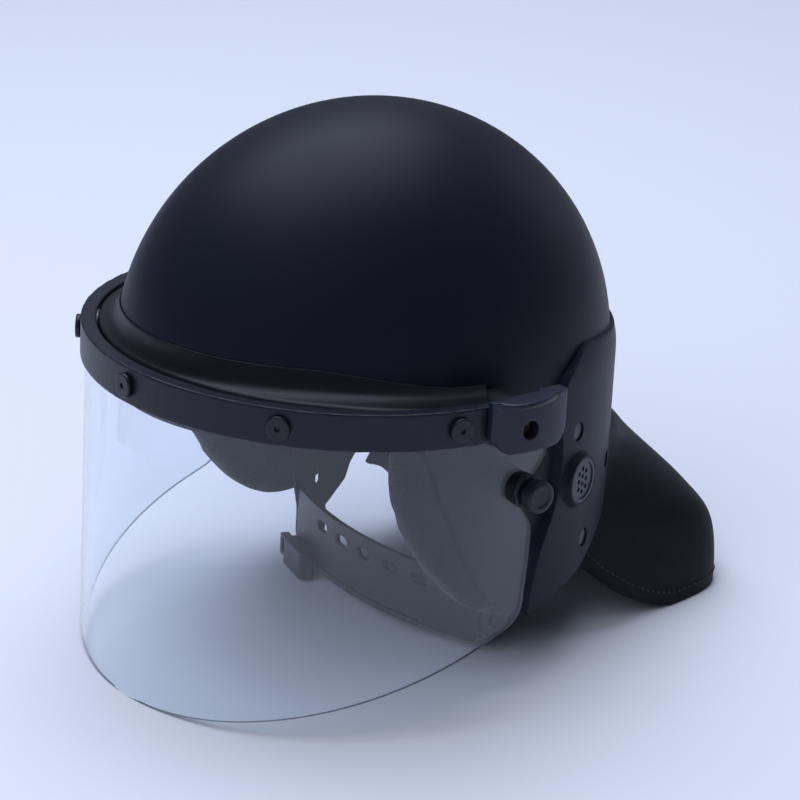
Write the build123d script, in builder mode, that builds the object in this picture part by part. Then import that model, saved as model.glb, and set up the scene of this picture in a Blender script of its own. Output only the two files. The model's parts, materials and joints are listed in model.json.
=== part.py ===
from build123d import *
import os
from math import atan2, cos, degrees, pi, radians, sin, sqrt, tan

os.makedirs("parts", exist_ok=True)

# Riot helmet with a lifting face shield, in millimetres.
# While it is built, the hinge axis of the face shield is the X axis, -Y is the front, +X the
# wearer's left and +Z is up, square to the rim of the shield frame. At the end every piece is
# turned nose up and lifted, so that the shield and the neck guard stand on the ground.

# Shell: an ellipsoid dome over straight walls, with ear flaps that step out of the walls
dome_half_width = 118.0
dome_half_length = 140.0
dome_height = 132.5
dome_setback = 9.0
shell_wall = 3.5
flap_depth = 117.0
flap_reach = 122.0
brow_depth = 14.0
bulge_step = 5.0
bulge_height = 84.0
bulge_slope = 9.0

nape_depth = 40.0
nape_start = 136.0
brow_end = 40.0
# Points of the ear window's edge and of the flap's edge: along the reach, down the depth
window_shares = (
    (0.217, 1.17),
    (0.259, 0.99),
    (0.327, 0.733),
    (0.427, 0.54),
    (0.468, 0.284),
    (0.45, 0.024),
    (0.466, -0.003),
    (0.526, -0.033),
    (0.616, -0.092),
    (0.68, -0.085),
    (0.78, -0.073),
    (1.3, -0.06),
)
flap_shares = (
    (-0.254, 0.265),
    (-0.197, 0.427),
    (-0.139, 0.564),
    (0.0, 0.846),
    (0.098, 0.957),
    (0.197, 1.0),
    (0.295, 0.996),
    (0.434, 0.962),
    (0.623, 0.906),
    (0.754, 0.829),
    (0.885, 0.735),
    (0.967, 0.598),
    (1.016, 0.479),
)

# Shield frame: a flanged band, riveted to the clear shield
frame_side_room = 23.0
frame_front_room = 12.5
frame_lead = 11.0
frame_top = 13.0
frame_height = 19.8
frame_wall = 2.5
flange_width = 8.2
flange_end = 24.0
arm_reach = 12.0
shield_wall = 3.0
shield_fit = 0.1
shield_top_gap = 0.6
shield_depth = 170.0
shield_rake = 21.5
shield_corner = 14.0

visor_heel = 11.4
screw_turns = (-79.1, -39.7, 0.0, 39.7, 79.1)
shield_screw_drop = 9.8
# The shield's rear edge above the notch: places behind and above its centre, in its radii
visor_notch_shares = (
    (1.13, 2.5),
    (1.13, 2.25),
    (0.71, 1.7),
    (0.35, 1.2),
    (-0.4, 0.0),
)
# The same edge below the notch: behind its centre in its radii, down the fall to the heel
visor_lip_shares = (
    (-0.45, 0.108),
    (-0.23, 0.162),
    (0.17, 0.227),
    (0.31, 0.3),
    (0.24, 0.52),
    (0.1, 0.74),
)

# Seal between the dome and the frame flange
seal_gap = 0.6
seal_height = 27.0
seal_foot = 2.0
seal_lip = 11.0
seal_end = 13.0

# Hinge
spigot_radius = 3.5
spigot_clearance = 0.08
boss_radius = 12.0
washer_thickness = 1.2
cover_rise = 9.5
cover_front = 21.5
cover_back = 27.0
cover_top = 16.4
cover_low = 12.0
cover_corner = 10.0
cover_cut = 9.0
cover_seat = 1.4
cover_step = 4.4
cover_edge = 1.2
cover_lip = 3.2
cover_lip_reach = 13.2
# Points of the lip's outer edge in plan: outward along its reach, back along the cover's back
cover_lip_shares = (
    (0.55, -0.66),
    (0.93, -0.47),
    (1.03, 0.0),
    (0.72, 0.51),
    (0.2, 0.96),
)
hinge_nut_radius = 4.5
hinge_nut_height = 3.0
driver_width = 1.1
cover_return = 2.3
hinge_head_radius = 4.3
hinge_head_height = 2.8
hinge_shank_radius = 2.0
recess_radius = 4.8
washer_radius = 11.0
stack_gap = 0.1
nut_gap = 0.6
nut_pocket = 2.0


# Lock knob and the notch that it sits in
lock_back = 11.5
lock_drop = 39.8
lock_collar_radius = 7.9
lock_stud_radius = 3.0
lock_knob_radius = 8.6
lock_knob_height = 10.0
lock_neck_radius = 5.8
lock_flange_radius = 9.3
lock_flange = 1.0
lock_base_radius = 9.5
lock_stud_length = 34.0
knob_head = 6.0
knob_edge = 1.6
knob_dish = 0.6
knob_rim = 1.8
notch_radius = 8.7

# Shield screws
shield_head_radius = 6.4
shield_head_height = 2.8
shield_shank_radius = 3.0
shield_bore_clearance = 0.15
shield_nut_radius = 5.5
shield_nut_height = 2.2
shield_socket_radius = 1.4

# Hearing port
port_back = 68.0
port_drop = 52.5
port_radius = 16.4
port_top_radius = 13.6
port_rise = 3.4
grille_radius = 12.2
grille_thickness = 1.8
grille_seat = 2.6
grille_hole = 1.35
grille_pitch = 4.3
grille_clearance = 0.2
grille_row = 3.8
grille_rim = 0.7
port_throat = 10.0

# Flap screws
flap_head_radius = 4.6
flap_head_height = 1.3
flap_recess_gap = 0.4
flap_shank_radius = 2.2
rivet_tails = (2.0, 22.4, 2.0)
rivet_shoulders = (1.8, 15.4, 1.8)
flap_head_sink = 2.2
# Places of the flap screws: along the reach, down the depth
screw_shares = ((0.538, 0.216), (0.9, 0.49), (0.647, 0.764))

# Neck guard
guard_wall = 4.5
guard_back = 206.0
guard_half_width = 97.0
guard_tuck = 26.0
guard_gap = 0.6
# Sections of the guard below the nape: depth, width and length as shares, and squareness
guard_section_shares = (
    (0.335, 0.75, 0.77, 2.7),
    (0.441, 0.814, 0.883, 3.8),
    (0.53, 0.885, 0.967, 4.7),
    (0.58, 0.955, 0.986, 6.0),
    (0.635, 0.985, 0.995, 8.0),
    (0.941, 1.0, 1.0, 10.0),
)
guard_heel_share = 0.72
# The guard's front edge in the side view, from the top: along its back, down its foot
guard_edge_shares = (
    (0.49, 0.17),
    (0.47, 0.4),
    (0.45, 0.66),
    (0.43, 0.76),
    (0.52, 0.845),
    (0.62, 0.945),
)
guard_steps = 36
guard_fine_steps = 400
guard_start = 0.02

# Inner fit-out
liner_gap = 0.4
liner_wall = 20.0
groove_turns = (45.0, 135.0)
groove_length = 150.0
groove_width = 12.0
groove_depth = 5.0
pad_gap = 0.5
ear_pad_inner = 85.0
ear_pad_share = 0.729
ear_pad_reach = 76.0
ear_pad_round = 5.0
ear_hole_back = 22.0
ear_hole_drop = 58.0
ear_hole_half_width = 17.0
ear_hole_half_height = 28.0
ear_hole_depth = 16.0
# The ear pad's outline in the side view: along its reach, down its depth
ear_pad_shares = (
    (-0.62, 0.1),
    (-0.64, 0.3),
    (-0.45, 0.62),
    (-0.24, 0.79),
    (-0.02, 0.92),
    (0.29, 1.0),
    (0.62, 0.975),
    (0.88, 0.84),
    (1.0, 0.55),
    (0.93, 0.2),
    (0.6, 0.06),
    (0.1, 0.05),
    (-0.35, 0.05),
)
brow_pad_wall = 9.0
brow_pad_height = 30.0
brow_pad_end = 20.0
crown_pad_reach = 62.0
crown_pad_band = 26.0
nape_pad_wall = 9.0
nape_pad_gap = 5.5
nape_pad_height = 39.6
nape_pad_start = 95.0

# Chin strap
chin_back = 31.0
chin_bow = 14.5
chin_height = 36.0
chin_wall = 3.0
chin_lift = 10.0
chin_slot_length = 11.0
chin_slot_width = 5.5
chin_slot_pitch = 22.0
chin_slot_rise = 26.0
chin_round = 6.0
chin_foot = 5.0
chin_foot_half_length = 46.0
strap_gap = 0.6
strap_wall = 1.8
strap_round = 3.0
strap_pin_radius = 2.4
strap_slit_length = 12.0
strap_slit_width = 2.2
strap_slit_rise = 28.0
strap_slit_shift = 5.0
lug_length = 19.0
lug_height = 20.0
# Where the side strap is pinned: along the ear pad's reach, up the chin band's height
strap_pin_shares = (0.51, 0.35)
# Its outline: along the ear pad's reach, down the pad's depth and then up the chin band's height
strap_pad_shares = (
    (0.368, 0.928),
    (0.34, 0.734),
    (1.05, 0.71),
    (0.882, 0.864),
    (0.842, 0.936),
)
strap_band_shares = (
    (0.65, 0.51),
    (0.62, 0.12),
    (0.4, 0.12),
    (0.4, 0.62),
)

# Buckle
buckle_place = 64.0
buckle_length = 28.0
buckle_depth = 9.0
buckle_height = 16.0
buckle_wall = 1.6
buckle_round = 2.4
buckle_drop = 8.0
tongue_length = 16.0
tongue_bar = 10.0
tongue_clearance = 0.3

# Rest on the ground
rest_pitch = 3.5

# One overrun serves all cuts
overrun = 20.0

# Values that follow from the ones above
frame_half_width = dome_half_width + frame_side_room
frame_half_length = dome_half_length - dome_setback + frame_front_room - frame_lead
ear_pad_depth = shield_depth * ear_pad_share
dome_inner_half_width = dome_half_width - shell_wall
dome_inner_half_length = dome_half_length - shell_wall
dome_inner_height = dome_height - shell_wall
bulge_half_width = dome_half_width + bulge_step
bulge_half_length = dome_half_length + bulge_step / 2
wall_depth = flap_depth + overrun
frame_low = frame_top - frame_height
shield_offset = frame_wall + shield_fit
shield_top = frame_top - frame_wall - shield_top_gap
shield_front = frame_lead + frame_half_length - shield_offset
ground_slope = tan(radians(rest_pitch))

guard_length = guard_back - dome_setback
guard_top_width = bulge_half_width - shell_wall - guard_gap
guard_top_length = bulge_half_length - shell_wall - guard_gap
guard_levels = [(nape_depth, guard_top_width, guard_top_length, 2)] + [
    (shield_depth * down, guard_half_width * across, guard_length * along, fullness)
    for down, across, along, fullness in guard_section_shares
]

# Everything is turned about the hinge axis and moved by this at the end, to stand on the ground
ground_turn = radians(rest_pitch)
rest_front = shield_front * cos(ground_turn) + shield_depth * sin(ground_turn)
guard_foot = shield_depth - ground_slope * (guard_back + shield_front)
rest_back = guard_back * cos(ground_turn) - guard_foot * sin(ground_turn)
rest_lift = shield_depth * cos(ground_turn) - shield_front * sin(ground_turn)
rest_place = Location((0, (rest_front - rest_back) / 2, rest_lift), (-rest_pitch, 0, 0))

# The outer form of the dome and its walls, kept as a tool for the other pieces
with BuildPart() as outer_form:
    Sphere(radius=dome_half_length)
    scale(by=(dome_half_width / dome_half_length, 1, dome_height / dome_half_length))
    split(bisect_by=Plane.XY, keep=Keep.TOP)
    with BuildSketch(Plane.XY):
        Ellipse(dome_half_width, dome_half_length)
    extrude(amount=-wall_depth)

# The same form one wall further in
with BuildPart() as inner_form:
    Sphere(radius=dome_inner_half_length)
    scale(
        by=(
            dome_inner_half_width / dome_inner_half_length,
            1,
            dome_inner_height / dome_inner_half_length,
        )
    )
    split(bisect_by=Plane.XY, keep=Keep.TOP)
    with BuildSketch(Plane.XY):
        Ellipse(dome_inner_half_width, dome_inner_half_length)
    extrude(amount=-wall_depth)

# The ear bulge outside, cut to its window in the side view; the window's edge slopes
with BuildPart() as bulge_form:
    Sphere(radius=bulge_half_length)
    scale(by=(bulge_half_width / bulge_half_length, 1, bulge_height / bulge_half_length))
    split(bisect_by=Plane.XY, keep=Keep.TOP)
    with BuildSketch(Plane.XY):
        Ellipse(bulge_half_width, bulge_half_length)
    extrude(amount=-wall_depth)

with BuildPart() as bulge_inner_form:
    Sphere(radius=bulge_half_length - shell_wall)
    scale(
        by=(
            (bulge_half_width - shell_wall) / (bulge_half_length - shell_wall),
            1,
            (bulge_height - shell_wall) / (bulge_half_length - shell_wall),
        )
    )
    split(bisect_by=Plane.XY, keep=Keep.TOP)
    with BuildSketch(Plane.XY):
        Ellipse(bulge_half_width - shell_wall, bulge_half_length - shell_wall)
    extrude(amount=-wall_depth)

window_points = [(flap_reach * along, -flap_depth * down) for along, down in window_shares]


def window_edge(spread):
    """The window's edge, moved outward in its own plane by the spread."""
    edge = []
    for number, (along, up) in enumerate(window_points):
        before = window_points[max(number - 1, 0)]
        after = window_points[min(number + 1, len(window_points) - 1)]
        run = sqrt((after[0] - before[0]) ** 2 + (after[1] - before[1]) ** 2)
        edge.append(
            (
                along - spread * (after[1] - before[1]) / run,
                up + spread * (after[0] - before[0]) / run,
            )
        )
    return edge


wide_edge = window_edge(bulge_slope)
narrow_edge = window_edge(0)
with BuildPart() as bulge_window:
    with BuildSketch(Plane.YZ.offset(bulge_half_width - bulge_slope)):
        with BuildLine():
            Spline(*wide_edge)
            Polyline(wide_edge[-1], (wide_edge[-1][0], wide_edge[0][1]), wide_edge[0])
        make_face()
    extrude(amount=-bulge_half_width)
    with BuildSketch(Plane.YZ.offset(bulge_half_width - bulge_slope)):
        with BuildLine():
            Spline(*wide_edge)
            Polyline(wide_edge[-1], (wide_edge[-1][0], wide_edge[0][1]), wide_edge[0])
        make_face()
    with BuildSketch(Plane.YZ.offset(bulge_half_width)):
        with BuildLine():
            Spline(*narrow_edge)
            Polyline(narrow_edge[-1], (narrow_edge[-1][0], narrow_edge[0][1]), narrow_edge[0])
        make_face()
    loft(ruled=True)

with BuildPart() as ear_form:
    with Locations((0, dome_setback, 0)):
        add(bulge_form.part)
    add(bulge_window.part, mode=Mode.INTERSECT)

with BuildPart() as ear_hollow:
    with Locations((0, dome_setback, 0)):
        add(bulge_inner_form.part)
    with Locations((-shell_wall, shell_wall / 2, 0)):
        add(bulge_window.part, mode=Mode.INTERSECT)

# Planes that face outward on each side, where the ports, hinges and studs stand
port_turn = atan2(
    (port_back - dome_setback) / bulge_half_length**2,
    sqrt(1 - ((port_back - dome_setback) / bulge_half_length) ** 2) / bulge_half_width,
)
port_across = bulge_half_width * sqrt(1 - ((port_back - dome_setback) / bulge_half_length) ** 2)
port_plane = Plane(
    origin=(port_across, port_back, -port_drop),
    x_dir=(0, 0, 1),
    z_dir=(cos(port_turn), sin(port_turn), 0),
)

# The lower edge of the shell in the side view
flap_points = [(flap_reach * along, -flap_depth * down) for along, down in flap_shares]
with BuildPart() as edge_cut:
    with BuildSketch(Plane.YZ):
        with BuildLine():
            Polyline(
                (-dome_half_length - overrun, -wall_depth - overrun),
                (-dome_half_length - overrun, -brow_depth),
                (-brow_end, -brow_depth),
            )
            Spline((-brow_end, -brow_depth), *flap_points, (nape_start, -nape_depth))
            Polyline(
                (nape_start, -nape_depth),
                (dome_half_length + dome_setback + overrun, -nape_depth),
                (dome_half_length + dome_setback + overrun, -wall_depth - overrun),
                (-dome_half_length - overrun, -wall_depth - overrun),
            )
        make_face()
    extrude(amount=bulge_half_width + overrun, both=True)


# Hinge planes and the stack of pieces along each hinge, counted outward on the left side
hinge_seat = dome_half_width * sqrt(1 - (dome_setback / dome_half_length) ** 2)
shield_inner = frame_half_width - shield_offset - shield_wall
washer_start = shield_inner - stack_gap - washer_thickness
boss_end = washer_start - stack_gap
spigot_end = frame_half_width + cover_seat + stack_gap
screw_places = [Plane(origin=(side, 0, 0), x_dir=(0, 1, 0), z_dir=(side, 0, 0)) for side in (1, -1)]

# Flap screws: a plane square to the shell at each one, on the left side
flap_screw_points = [(flap_reach * along, -flap_depth * down) for along, down in screw_shares]
flap_screw_planes = []
for along, up in flap_screw_points:
    reach = (along - dome_setback) / bulge_half_length
    across = bulge_half_width * sqrt(1 - reach**2)
    turn = atan2(reach / bulge_half_length, across / bulge_half_width**2)
    flap_screw_planes.append(
        Plane(origin=(across, along, up), x_dir=(0, 0, 1), z_dir=(cos(turn), sin(turn), 0))
    )

# All that is added to or taken from the left side of the shell: the port is a low cone
with BuildPart() as port_cone:
    with BuildSketch(port_plane.offset(-shell_wall / 2)):
        Circle(port_radius)
    with BuildSketch(port_plane.offset(port_rise)):
        Circle(port_top_radius)
    loft()

with BuildPart() as side_cuts:
    with BuildSketch(port_plane.offset(port_rise)):
        Circle(grille_radius + grille_clearance)
    extrude(amount=-grille_seat)
    with BuildSketch(port_plane.offset(port_rise)):
        Circle(port_throat)
    extrude(amount=-overrun)
    with BuildSketch(Plane.YZ.offset(hinge_seat - overrun)):
        Circle(hinge_shank_radius + shield_bore_clearance)
    extrude(amount=2 * overrun)
    with BuildSketch(Plane.YZ.offset(hinge_seat - overrun)):
        with Locations((lock_back, -lock_drop)):
            Circle(lock_stud_radius + shield_bore_clearance)
    extrude(amount=2 * overrun)
    for place in flap_screw_planes:
        with BuildSketch(place.offset(-overrun)):
            Circle(flap_shank_radius + shield_bore_clearance)
        extrude(amount=2 * overrun)
        with BuildSketch(place.offset(-flap_head_sink)):
            Circle(flap_head_radius + flap_recess_gap)
        extrude(amount=overrun)

with BuildPart() as shell:
    with Locations((0, dome_setback, 0)):
        add(outer_form.part)
    add(ear_form.part)
    mirror(ear_form.part, about=Plane.YZ)
    with Locations((0, dome_setback, 0)):
        add(inner_form.part, mode=Mode.SUBTRACT)
    add(ear_hollow.part, mode=Mode.SUBTRACT)
    mirror(ear_hollow.part, about=Plane.YZ, mode=Mode.SUBTRACT)
    add(port_cone.part)
    mirror(port_cone.part, about=Plane.YZ)
    add(edge_cut.part, mode=Mode.SUBTRACT)
    add(side_cuts.part, mode=Mode.SUBTRACT)
    mirror(side_cuts.part, about=Plane.YZ, mode=Mode.SUBTRACT)
shell.part.label = "shell"
shell.part.move(rest_place)
export_step(shell.part, "parts/shell.step")

# Seal: a wedge between the dome and the flange, hollowed between its foot and its lip
seal_half_width = frame_half_width - flange_width - seal_gap
seal_half_length = frame_half_length - flange_width - seal_gap
dome_share = sqrt(1 - (seal_height / dome_height) ** 2)
middle_share = sqrt(1 - ((seal_height + seal_lip) / 2 / dome_height) ** 2)
with BuildPart() as brow_seal:
    with BuildSketch(Plane.XY.offset(-seal_foot)):
        with Locations((0, -frame_lead)):
            Ellipse(seal_half_width, seal_half_length)
    extrude(amount=seal_foot + seal_lip)
    with BuildSketch(Plane.XY.offset(seal_lip)):
        with Locations((0, -frame_lead)):
            Ellipse(seal_half_width, seal_half_length)
    with BuildSketch(Plane.XY.offset((seal_height + seal_lip) / 2)):
        with Locations((0, (2 * dome_setback - frame_lead) / 3)):
            Ellipse(
                (seal_half_width + 2 * dome_half_width * middle_share) / 3,
                (seal_half_length + 2 * dome_half_length * middle_share) / 3,
            )
    with BuildSketch(Plane.XY.offset(seal_height)):
        with Locations((0, dome_setback)):
            Ellipse(dome_half_width * dome_share, dome_half_length * dome_share)
    loft()
    with Locations((0, dome_setback, 0)):
        add(outer_form.part, mode=Mode.SUBTRACT)
    split(bisect_by=Plane.XZ.offset(seal_end), keep=Keep.TOP)
brow_seal.part.label = "brow_seal"
brow_seal.part.move(rest_place)
export_step(brow_seal.part, "parts/brow_seal.step")

# Shield frame: the band with its arms, then the flange on top of it
with BuildPart() as frame_solid:
    with BuildSketch(Plane.XY.offset(frame_low)):
        with Locations((0, -frame_lead)):
            Ellipse(frame_half_width, frame_half_length)
            Rectangle(
                2 * frame_half_width,
                frame_half_length + overrun,
                align=(Align.CENTER, Align.MIN),
            )
    extrude(amount=frame_height)

with BuildPart() as frame_hollow:
    with BuildSketch(Plane.XY.offset(frame_low)):
        with Locations((0, -frame_lead)):
            Ellipse(frame_half_width - frame_wall, frame_half_length - frame_wall)
            Rectangle(
                2 * (frame_half_width - frame_wall),
                frame_half_length + overrun,
                align=(Align.CENTER, Align.MIN),
            )
    extrude(amount=frame_height - frame_wall)
    with BuildSketch(Plane.XY.offset(frame_top - frame_wall)):
        with Locations((0, -frame_lead)):
            Ellipse(frame_half_width - flange_width, frame_half_length - flange_width)
        with Locations((0, -flange_end)):
            Rectangle(
                2 * (frame_half_width - frame_wall),
                frame_half_length + overrun,
                align=(Align.CENTER, Align.MIN),
            )
    extrude(amount=frame_wall)

# Plan angles of the five shield screws, and a plane on the band at each one
shield_screw_planes = []
for turn in screw_turns:
    across = frame_half_width * sin(radians(turn))
    along = frame_half_length * cos(radians(turn))
    lean = atan2(cos(radians(turn)) / frame_half_length, sin(radians(turn)) / frame_half_width)
    shield_screw_planes.append(
        Plane(
            origin=(across, -frame_lead - along, frame_top - shield_screw_drop),
            x_dir=(0, 0, 1),
            z_dir=(cos(lean), -sin(lean), 0),
        )
    )

with BuildPart() as visor_frame:
    add(frame_solid.part)
    add(frame_hollow.part, mode=Mode.SUBTRACT)
    with BuildSketch(Plane.YZ):
        with BuildLine():
            Polyline(
                (-frame_half_length - overrun, frame_low - overrun),
                (arm_reach, frame_low - overrun),
                (arm_reach, frame_top + overrun),
                (-frame_half_length - overrun, frame_top + overrun),
                close=True,
            )
        make_face()
    extrude(amount=frame_half_width + overrun, both=True, mode=Mode.INTERSECT)
    with BuildSketch(Plane.YZ):
        Circle(spigot_radius + spigot_clearance)
    extrude(amount=frame_half_width + overrun, both=True, mode=Mode.SUBTRACT)
    for place in shield_screw_planes:
        with BuildSketch(place.offset(-2 * frame_wall)):
            Circle(shield_shank_radius + shield_bore_clearance)
        extrude(amount=3 * frame_wall, mode=Mode.SUBTRACT)
visor_frame.part.label = "visor_frame"
visor_frame.part.move(rest_place)
export_step(visor_frame.part, "parts/visor_frame.step")

# Clear shield: a curved wall with straight arms, cut to its outline in the side view
with BuildPart() as visor_solid:
    with BuildSketch(Plane.XY.offset(-shield_depth)):
        with Locations((0, -frame_lead)):
            Ellipse(frame_half_width - shield_offset, frame_half_length - shield_offset)
            Rectangle(
                2 * (frame_half_width - shield_offset),
                frame_half_length,
                align=(Align.CENTER, Align.MIN),
            )
        with Locations((0, -frame_lead)):
            Ellipse(
                frame_half_width - shield_offset - shield_wall,
                frame_half_length - shield_offset - shield_wall,
                mode=Mode.SUBTRACT,
            )
            Rectangle(
                2 * (frame_half_width - shield_offset - shield_wall),
                frame_half_length + overrun,
                align=(Align.CENTER, Align.MIN),
                mode=Mode.SUBTRACT,
            )
    extrude(amount=shield_depth + shield_top)

rake_rise = tan(radians(shield_rake))
heel_up = -shield_depth + rake_rise * (shield_front + visor_heel)
edge_points = [
    (lock_back + notch_radius * along, -lock_drop + notch_radius * up)
    for along, up in visor_notch_shares
] + [
    (lock_back + notch_radius * along, -lock_drop + (heel_up + lock_drop) * down)
    for along, down in visor_lip_shares
]
with BuildPart() as visor_outline:
    with BuildSketch(Plane.YZ):
        with BuildLine():
            Polyline(
                edge_points[-1],
                (visor_heel, heel_up),
                (-shield_front - overrun, -shield_depth - overrun * rake_rise),
                (-shield_front - overrun, shield_top + overrun),
                (edge_points[0][0], shield_top + overrun),
                *edge_points,
            )
        make_face()
        fillet(vertices().sort_by(Axis.Y)[1], radius=shield_corner)
    extrude(amount=frame_half_width + overrun, both=True)

with BuildPart() as visor:
    add(visor_solid.part)
    add(visor_outline.part, mode=Mode.INTERSECT)
    with BuildSketch(Plane.YZ):
        Circle(spigot_radius + spigot_clearance)
        with Locations((lock_back, -lock_drop)):
            Circle(notch_radius)
    extrude(amount=frame_half_width + overrun, both=True, mode=Mode.SUBTRACT)
    for place in shield_screw_planes:
        with BuildSketch(place.offset(-3 * frame_wall)):
            Circle(shield_shank_radius + shield_bore_clearance)
        extrude(amount=4 * frame_wall, mode=Mode.SUBTRACT)
visor.part.label = "visor"
visor.part.move(rest_place)
export_step(visor.part, "parts/visor.step")

# Hinge cover: a block that bows outward in plan and wraps the end of the arm, under a lip
cover_lip_points = [
    (frame_half_width + cover_lip_reach * out, cover_back * along) for out, along in cover_lip_shares
]
with BuildPart() as cover_lip_solid:
    with BuildSketch(Plane.XY.offset(cover_top)):
        with BuildLine():
            Polyline(
                cover_lip_points[-1],
                (frame_half_width - cover_return, cover_back),
                (frame_half_width - cover_return, arm_reach + stack_gap),
                (frame_half_width + stack_gap, arm_reach + stack_gap),
                (frame_half_width + stack_gap, cover_lip_points[0][1]),
                cover_lip_points[0],
            )
            Spline(*cover_lip_points)
        make_face()
    extrude(amount=-cover_lip)
    fillet(edges().filter_by(GeomType.BSPLINE), radius=cover_edge)

with BuildPart() as hinge_cover_left:
    with BuildSketch(Plane.XY.offset(-cover_low)):
        with BuildLine():
            Polyline(
                (frame_half_width + stack_gap, -cover_front),
                (frame_half_width + cover_step, -cover_front),
            )
            ThreePointArc(
                (frame_half_width + cover_step, -cover_front),
                (frame_half_width + cover_rise, 0),
                (frame_half_width + cover_step, cover_back),
            )
            Polyline(
                (frame_half_width + cover_step, cover_back),
                (frame_half_width - cover_return, cover_back),
                (frame_half_width - cover_return, arm_reach + stack_gap),
                (frame_half_width + stack_gap, arm_reach + stack_gap),
                (frame_half_width + stack_gap, -cover_front),
            )
        make_face()
    extrude(amount=cover_low + cover_top)
    with BuildSketch(Plane.YZ):
        with BuildLine():
            Polyline(
                (-cover_front + cover_cut, -cover_low),
                (cover_back, -cover_low),
                (cover_back, cover_top),
                (-cover_front, cover_top),
                (-cover_front, -cover_low + cover_cut),
                close=True,
            )
        make_face()
        fillet(vertices().group_by(Axis.X)[-1].sort_by(Axis.Y)[0], radius=cover_corner)
        fillet(vertices().group_by(Axis.Y)[0].sort_by(Axis.X)[0], radius=cover_lip)
    extrude(amount=frame_half_width + overrun, mode=Mode.INTERSECT)
    add(cover_lip_solid.part)
    with BuildSketch(Plane.YZ):
        Circle(spigot_radius + spigot_clearance)
    extrude(amount=frame_half_width + overrun, mode=Mode.SUBTRACT)
    with BuildSketch(Plane.YZ.offset(frame_half_width + cover_seat)):
        Circle(recess_radius)
    extrude(amount=overrun, mode=Mode.SUBTRACT)
hinge_cover_left.part.label = "hinge_cover_left"
hinge_cover_left.part.move(rest_place)
export_step(hinge_cover_left.part, "parts/hinge_cover_left.step")

with BuildPart() as hinge_cover_right:
    mirror(hinge_cover_left.part, about=Plane.YZ)
hinge_cover_right.part.label = "hinge_cover_right"
export_step(hinge_cover_right.part, "parts/hinge_cover_right.step")

# Hinge boss on the shell, with the spigot that the shield turns on
with BuildPart() as hinge_boss_left:
    with BuildSketch(Plane.YZ.offset(hinge_seat - shell_wall)):
        Circle(boss_radius)
    extrude(amount=boss_end - hinge_seat + shell_wall)
    with BuildSketch(Plane.YZ.offset(boss_end)):
        Circle(spigot_radius)
    extrude(amount=spigot_end - boss_end)
    with Locations((0, dome_setback, 0)):
        add(outer_form.part, mode=Mode.SUBTRACT)
    with BuildSketch(Plane.YZ):
        Circle(hinge_shank_radius + stack_gap / 2)
    extrude(amount=spigot_end + overrun, mode=Mode.SUBTRACT)
hinge_boss_left.part.label = "hinge_boss_left"
hinge_boss_left.part.move(rest_place)
export_step(hinge_boss_left.part, "parts/hinge_boss_left.step")

with BuildPart() as hinge_boss_right:
    mirror(hinge_boss_left.part, about=Plane.YZ)
hinge_boss_right.part.label = "hinge_boss_right"
export_step(hinge_boss_right.part, "parts/hinge_boss_right.step")

with BuildPart() as hinge_washer_left:
    with BuildSketch(Plane.YZ.offset(washer_start)):
        Circle(washer_radius)
        Circle(spigot_radius + spigot_clearance, mode=Mode.SUBTRACT)
    extrude(amount=washer_thickness)
hinge_washer_left.part.label = "hinge_washer_left"
hinge_washer_left.part.move(rest_place)
export_step(hinge_washer_left.part, "parts/hinge_washer_left.step")

with BuildPart() as hinge_washer_right:
    mirror(hinge_washer_left.part, about=Plane.YZ)
hinge_washer_right.part.label = "hinge_washer_right"
export_step(hinge_washer_right.part, "parts/hinge_washer_right.step")

with BuildPart() as hinge_screw_left:
    with BuildSketch(Plane.YZ.offset(spigot_end)):
        Circle(hinge_head_radius)
    extrude(amount=hinge_head_height)
    fillet(edges().group_by(Axis.X)[-1], radius=hinge_head_height / 3)
    with BuildSketch(Plane.YZ.offset(hinge_seat - hinge_nut_height - 2 * shell_wall)):
        Circle(hinge_shank_radius)
    extrude(amount=spigot_end - hinge_seat + hinge_nut_height + 2 * shell_wall)
    with BuildSketch(Plane.YZ.offset(spigot_end + hinge_head_height / 2)):
        Rectangle(hinge_head_radius, driver_width)
        Rectangle(driver_width, hinge_head_radius)
    extrude(amount=hinge_head_height, mode=Mode.SUBTRACT)
hinge_screw_left.part.label = "hinge_screw_left"
hinge_screw_left.part.move(rest_place)
export_step(hinge_screw_left.part, "parts/hinge_screw_left.step")

with BuildPart() as hinge_screw_right:
    mirror(hinge_screw_left.part, about=Plane.YZ)
hinge_screw_right.part.label = "hinge_screw_right"
export_step(hinge_screw_right.part, "parts/hinge_screw_right.step")

with BuildPart() as hinge_nut_left:
    with BuildSketch(Plane.YZ.offset(hinge_seat - shell_wall - nut_gap)):
        RegularPolygon(hinge_nut_radius, side_count=6)
        Circle(hinge_shank_radius + stack_gap / 2, mode=Mode.SUBTRACT)
    extrude(amount=-hinge_nut_height)
hinge_nut_left.part.label = "hinge_nut_left"
hinge_nut_left.part.move(rest_place)
export_step(hinge_nut_left.part, "parts/hinge_nut_left.step")

with BuildPart() as hinge_nut_right:
    mirror(hinge_nut_left.part, about=Plane.YZ)
hinge_nut_right.part.label = "hinge_nut_right"
export_step(hinge_nut_right.part, "parts/hinge_nut_right.step")

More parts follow.
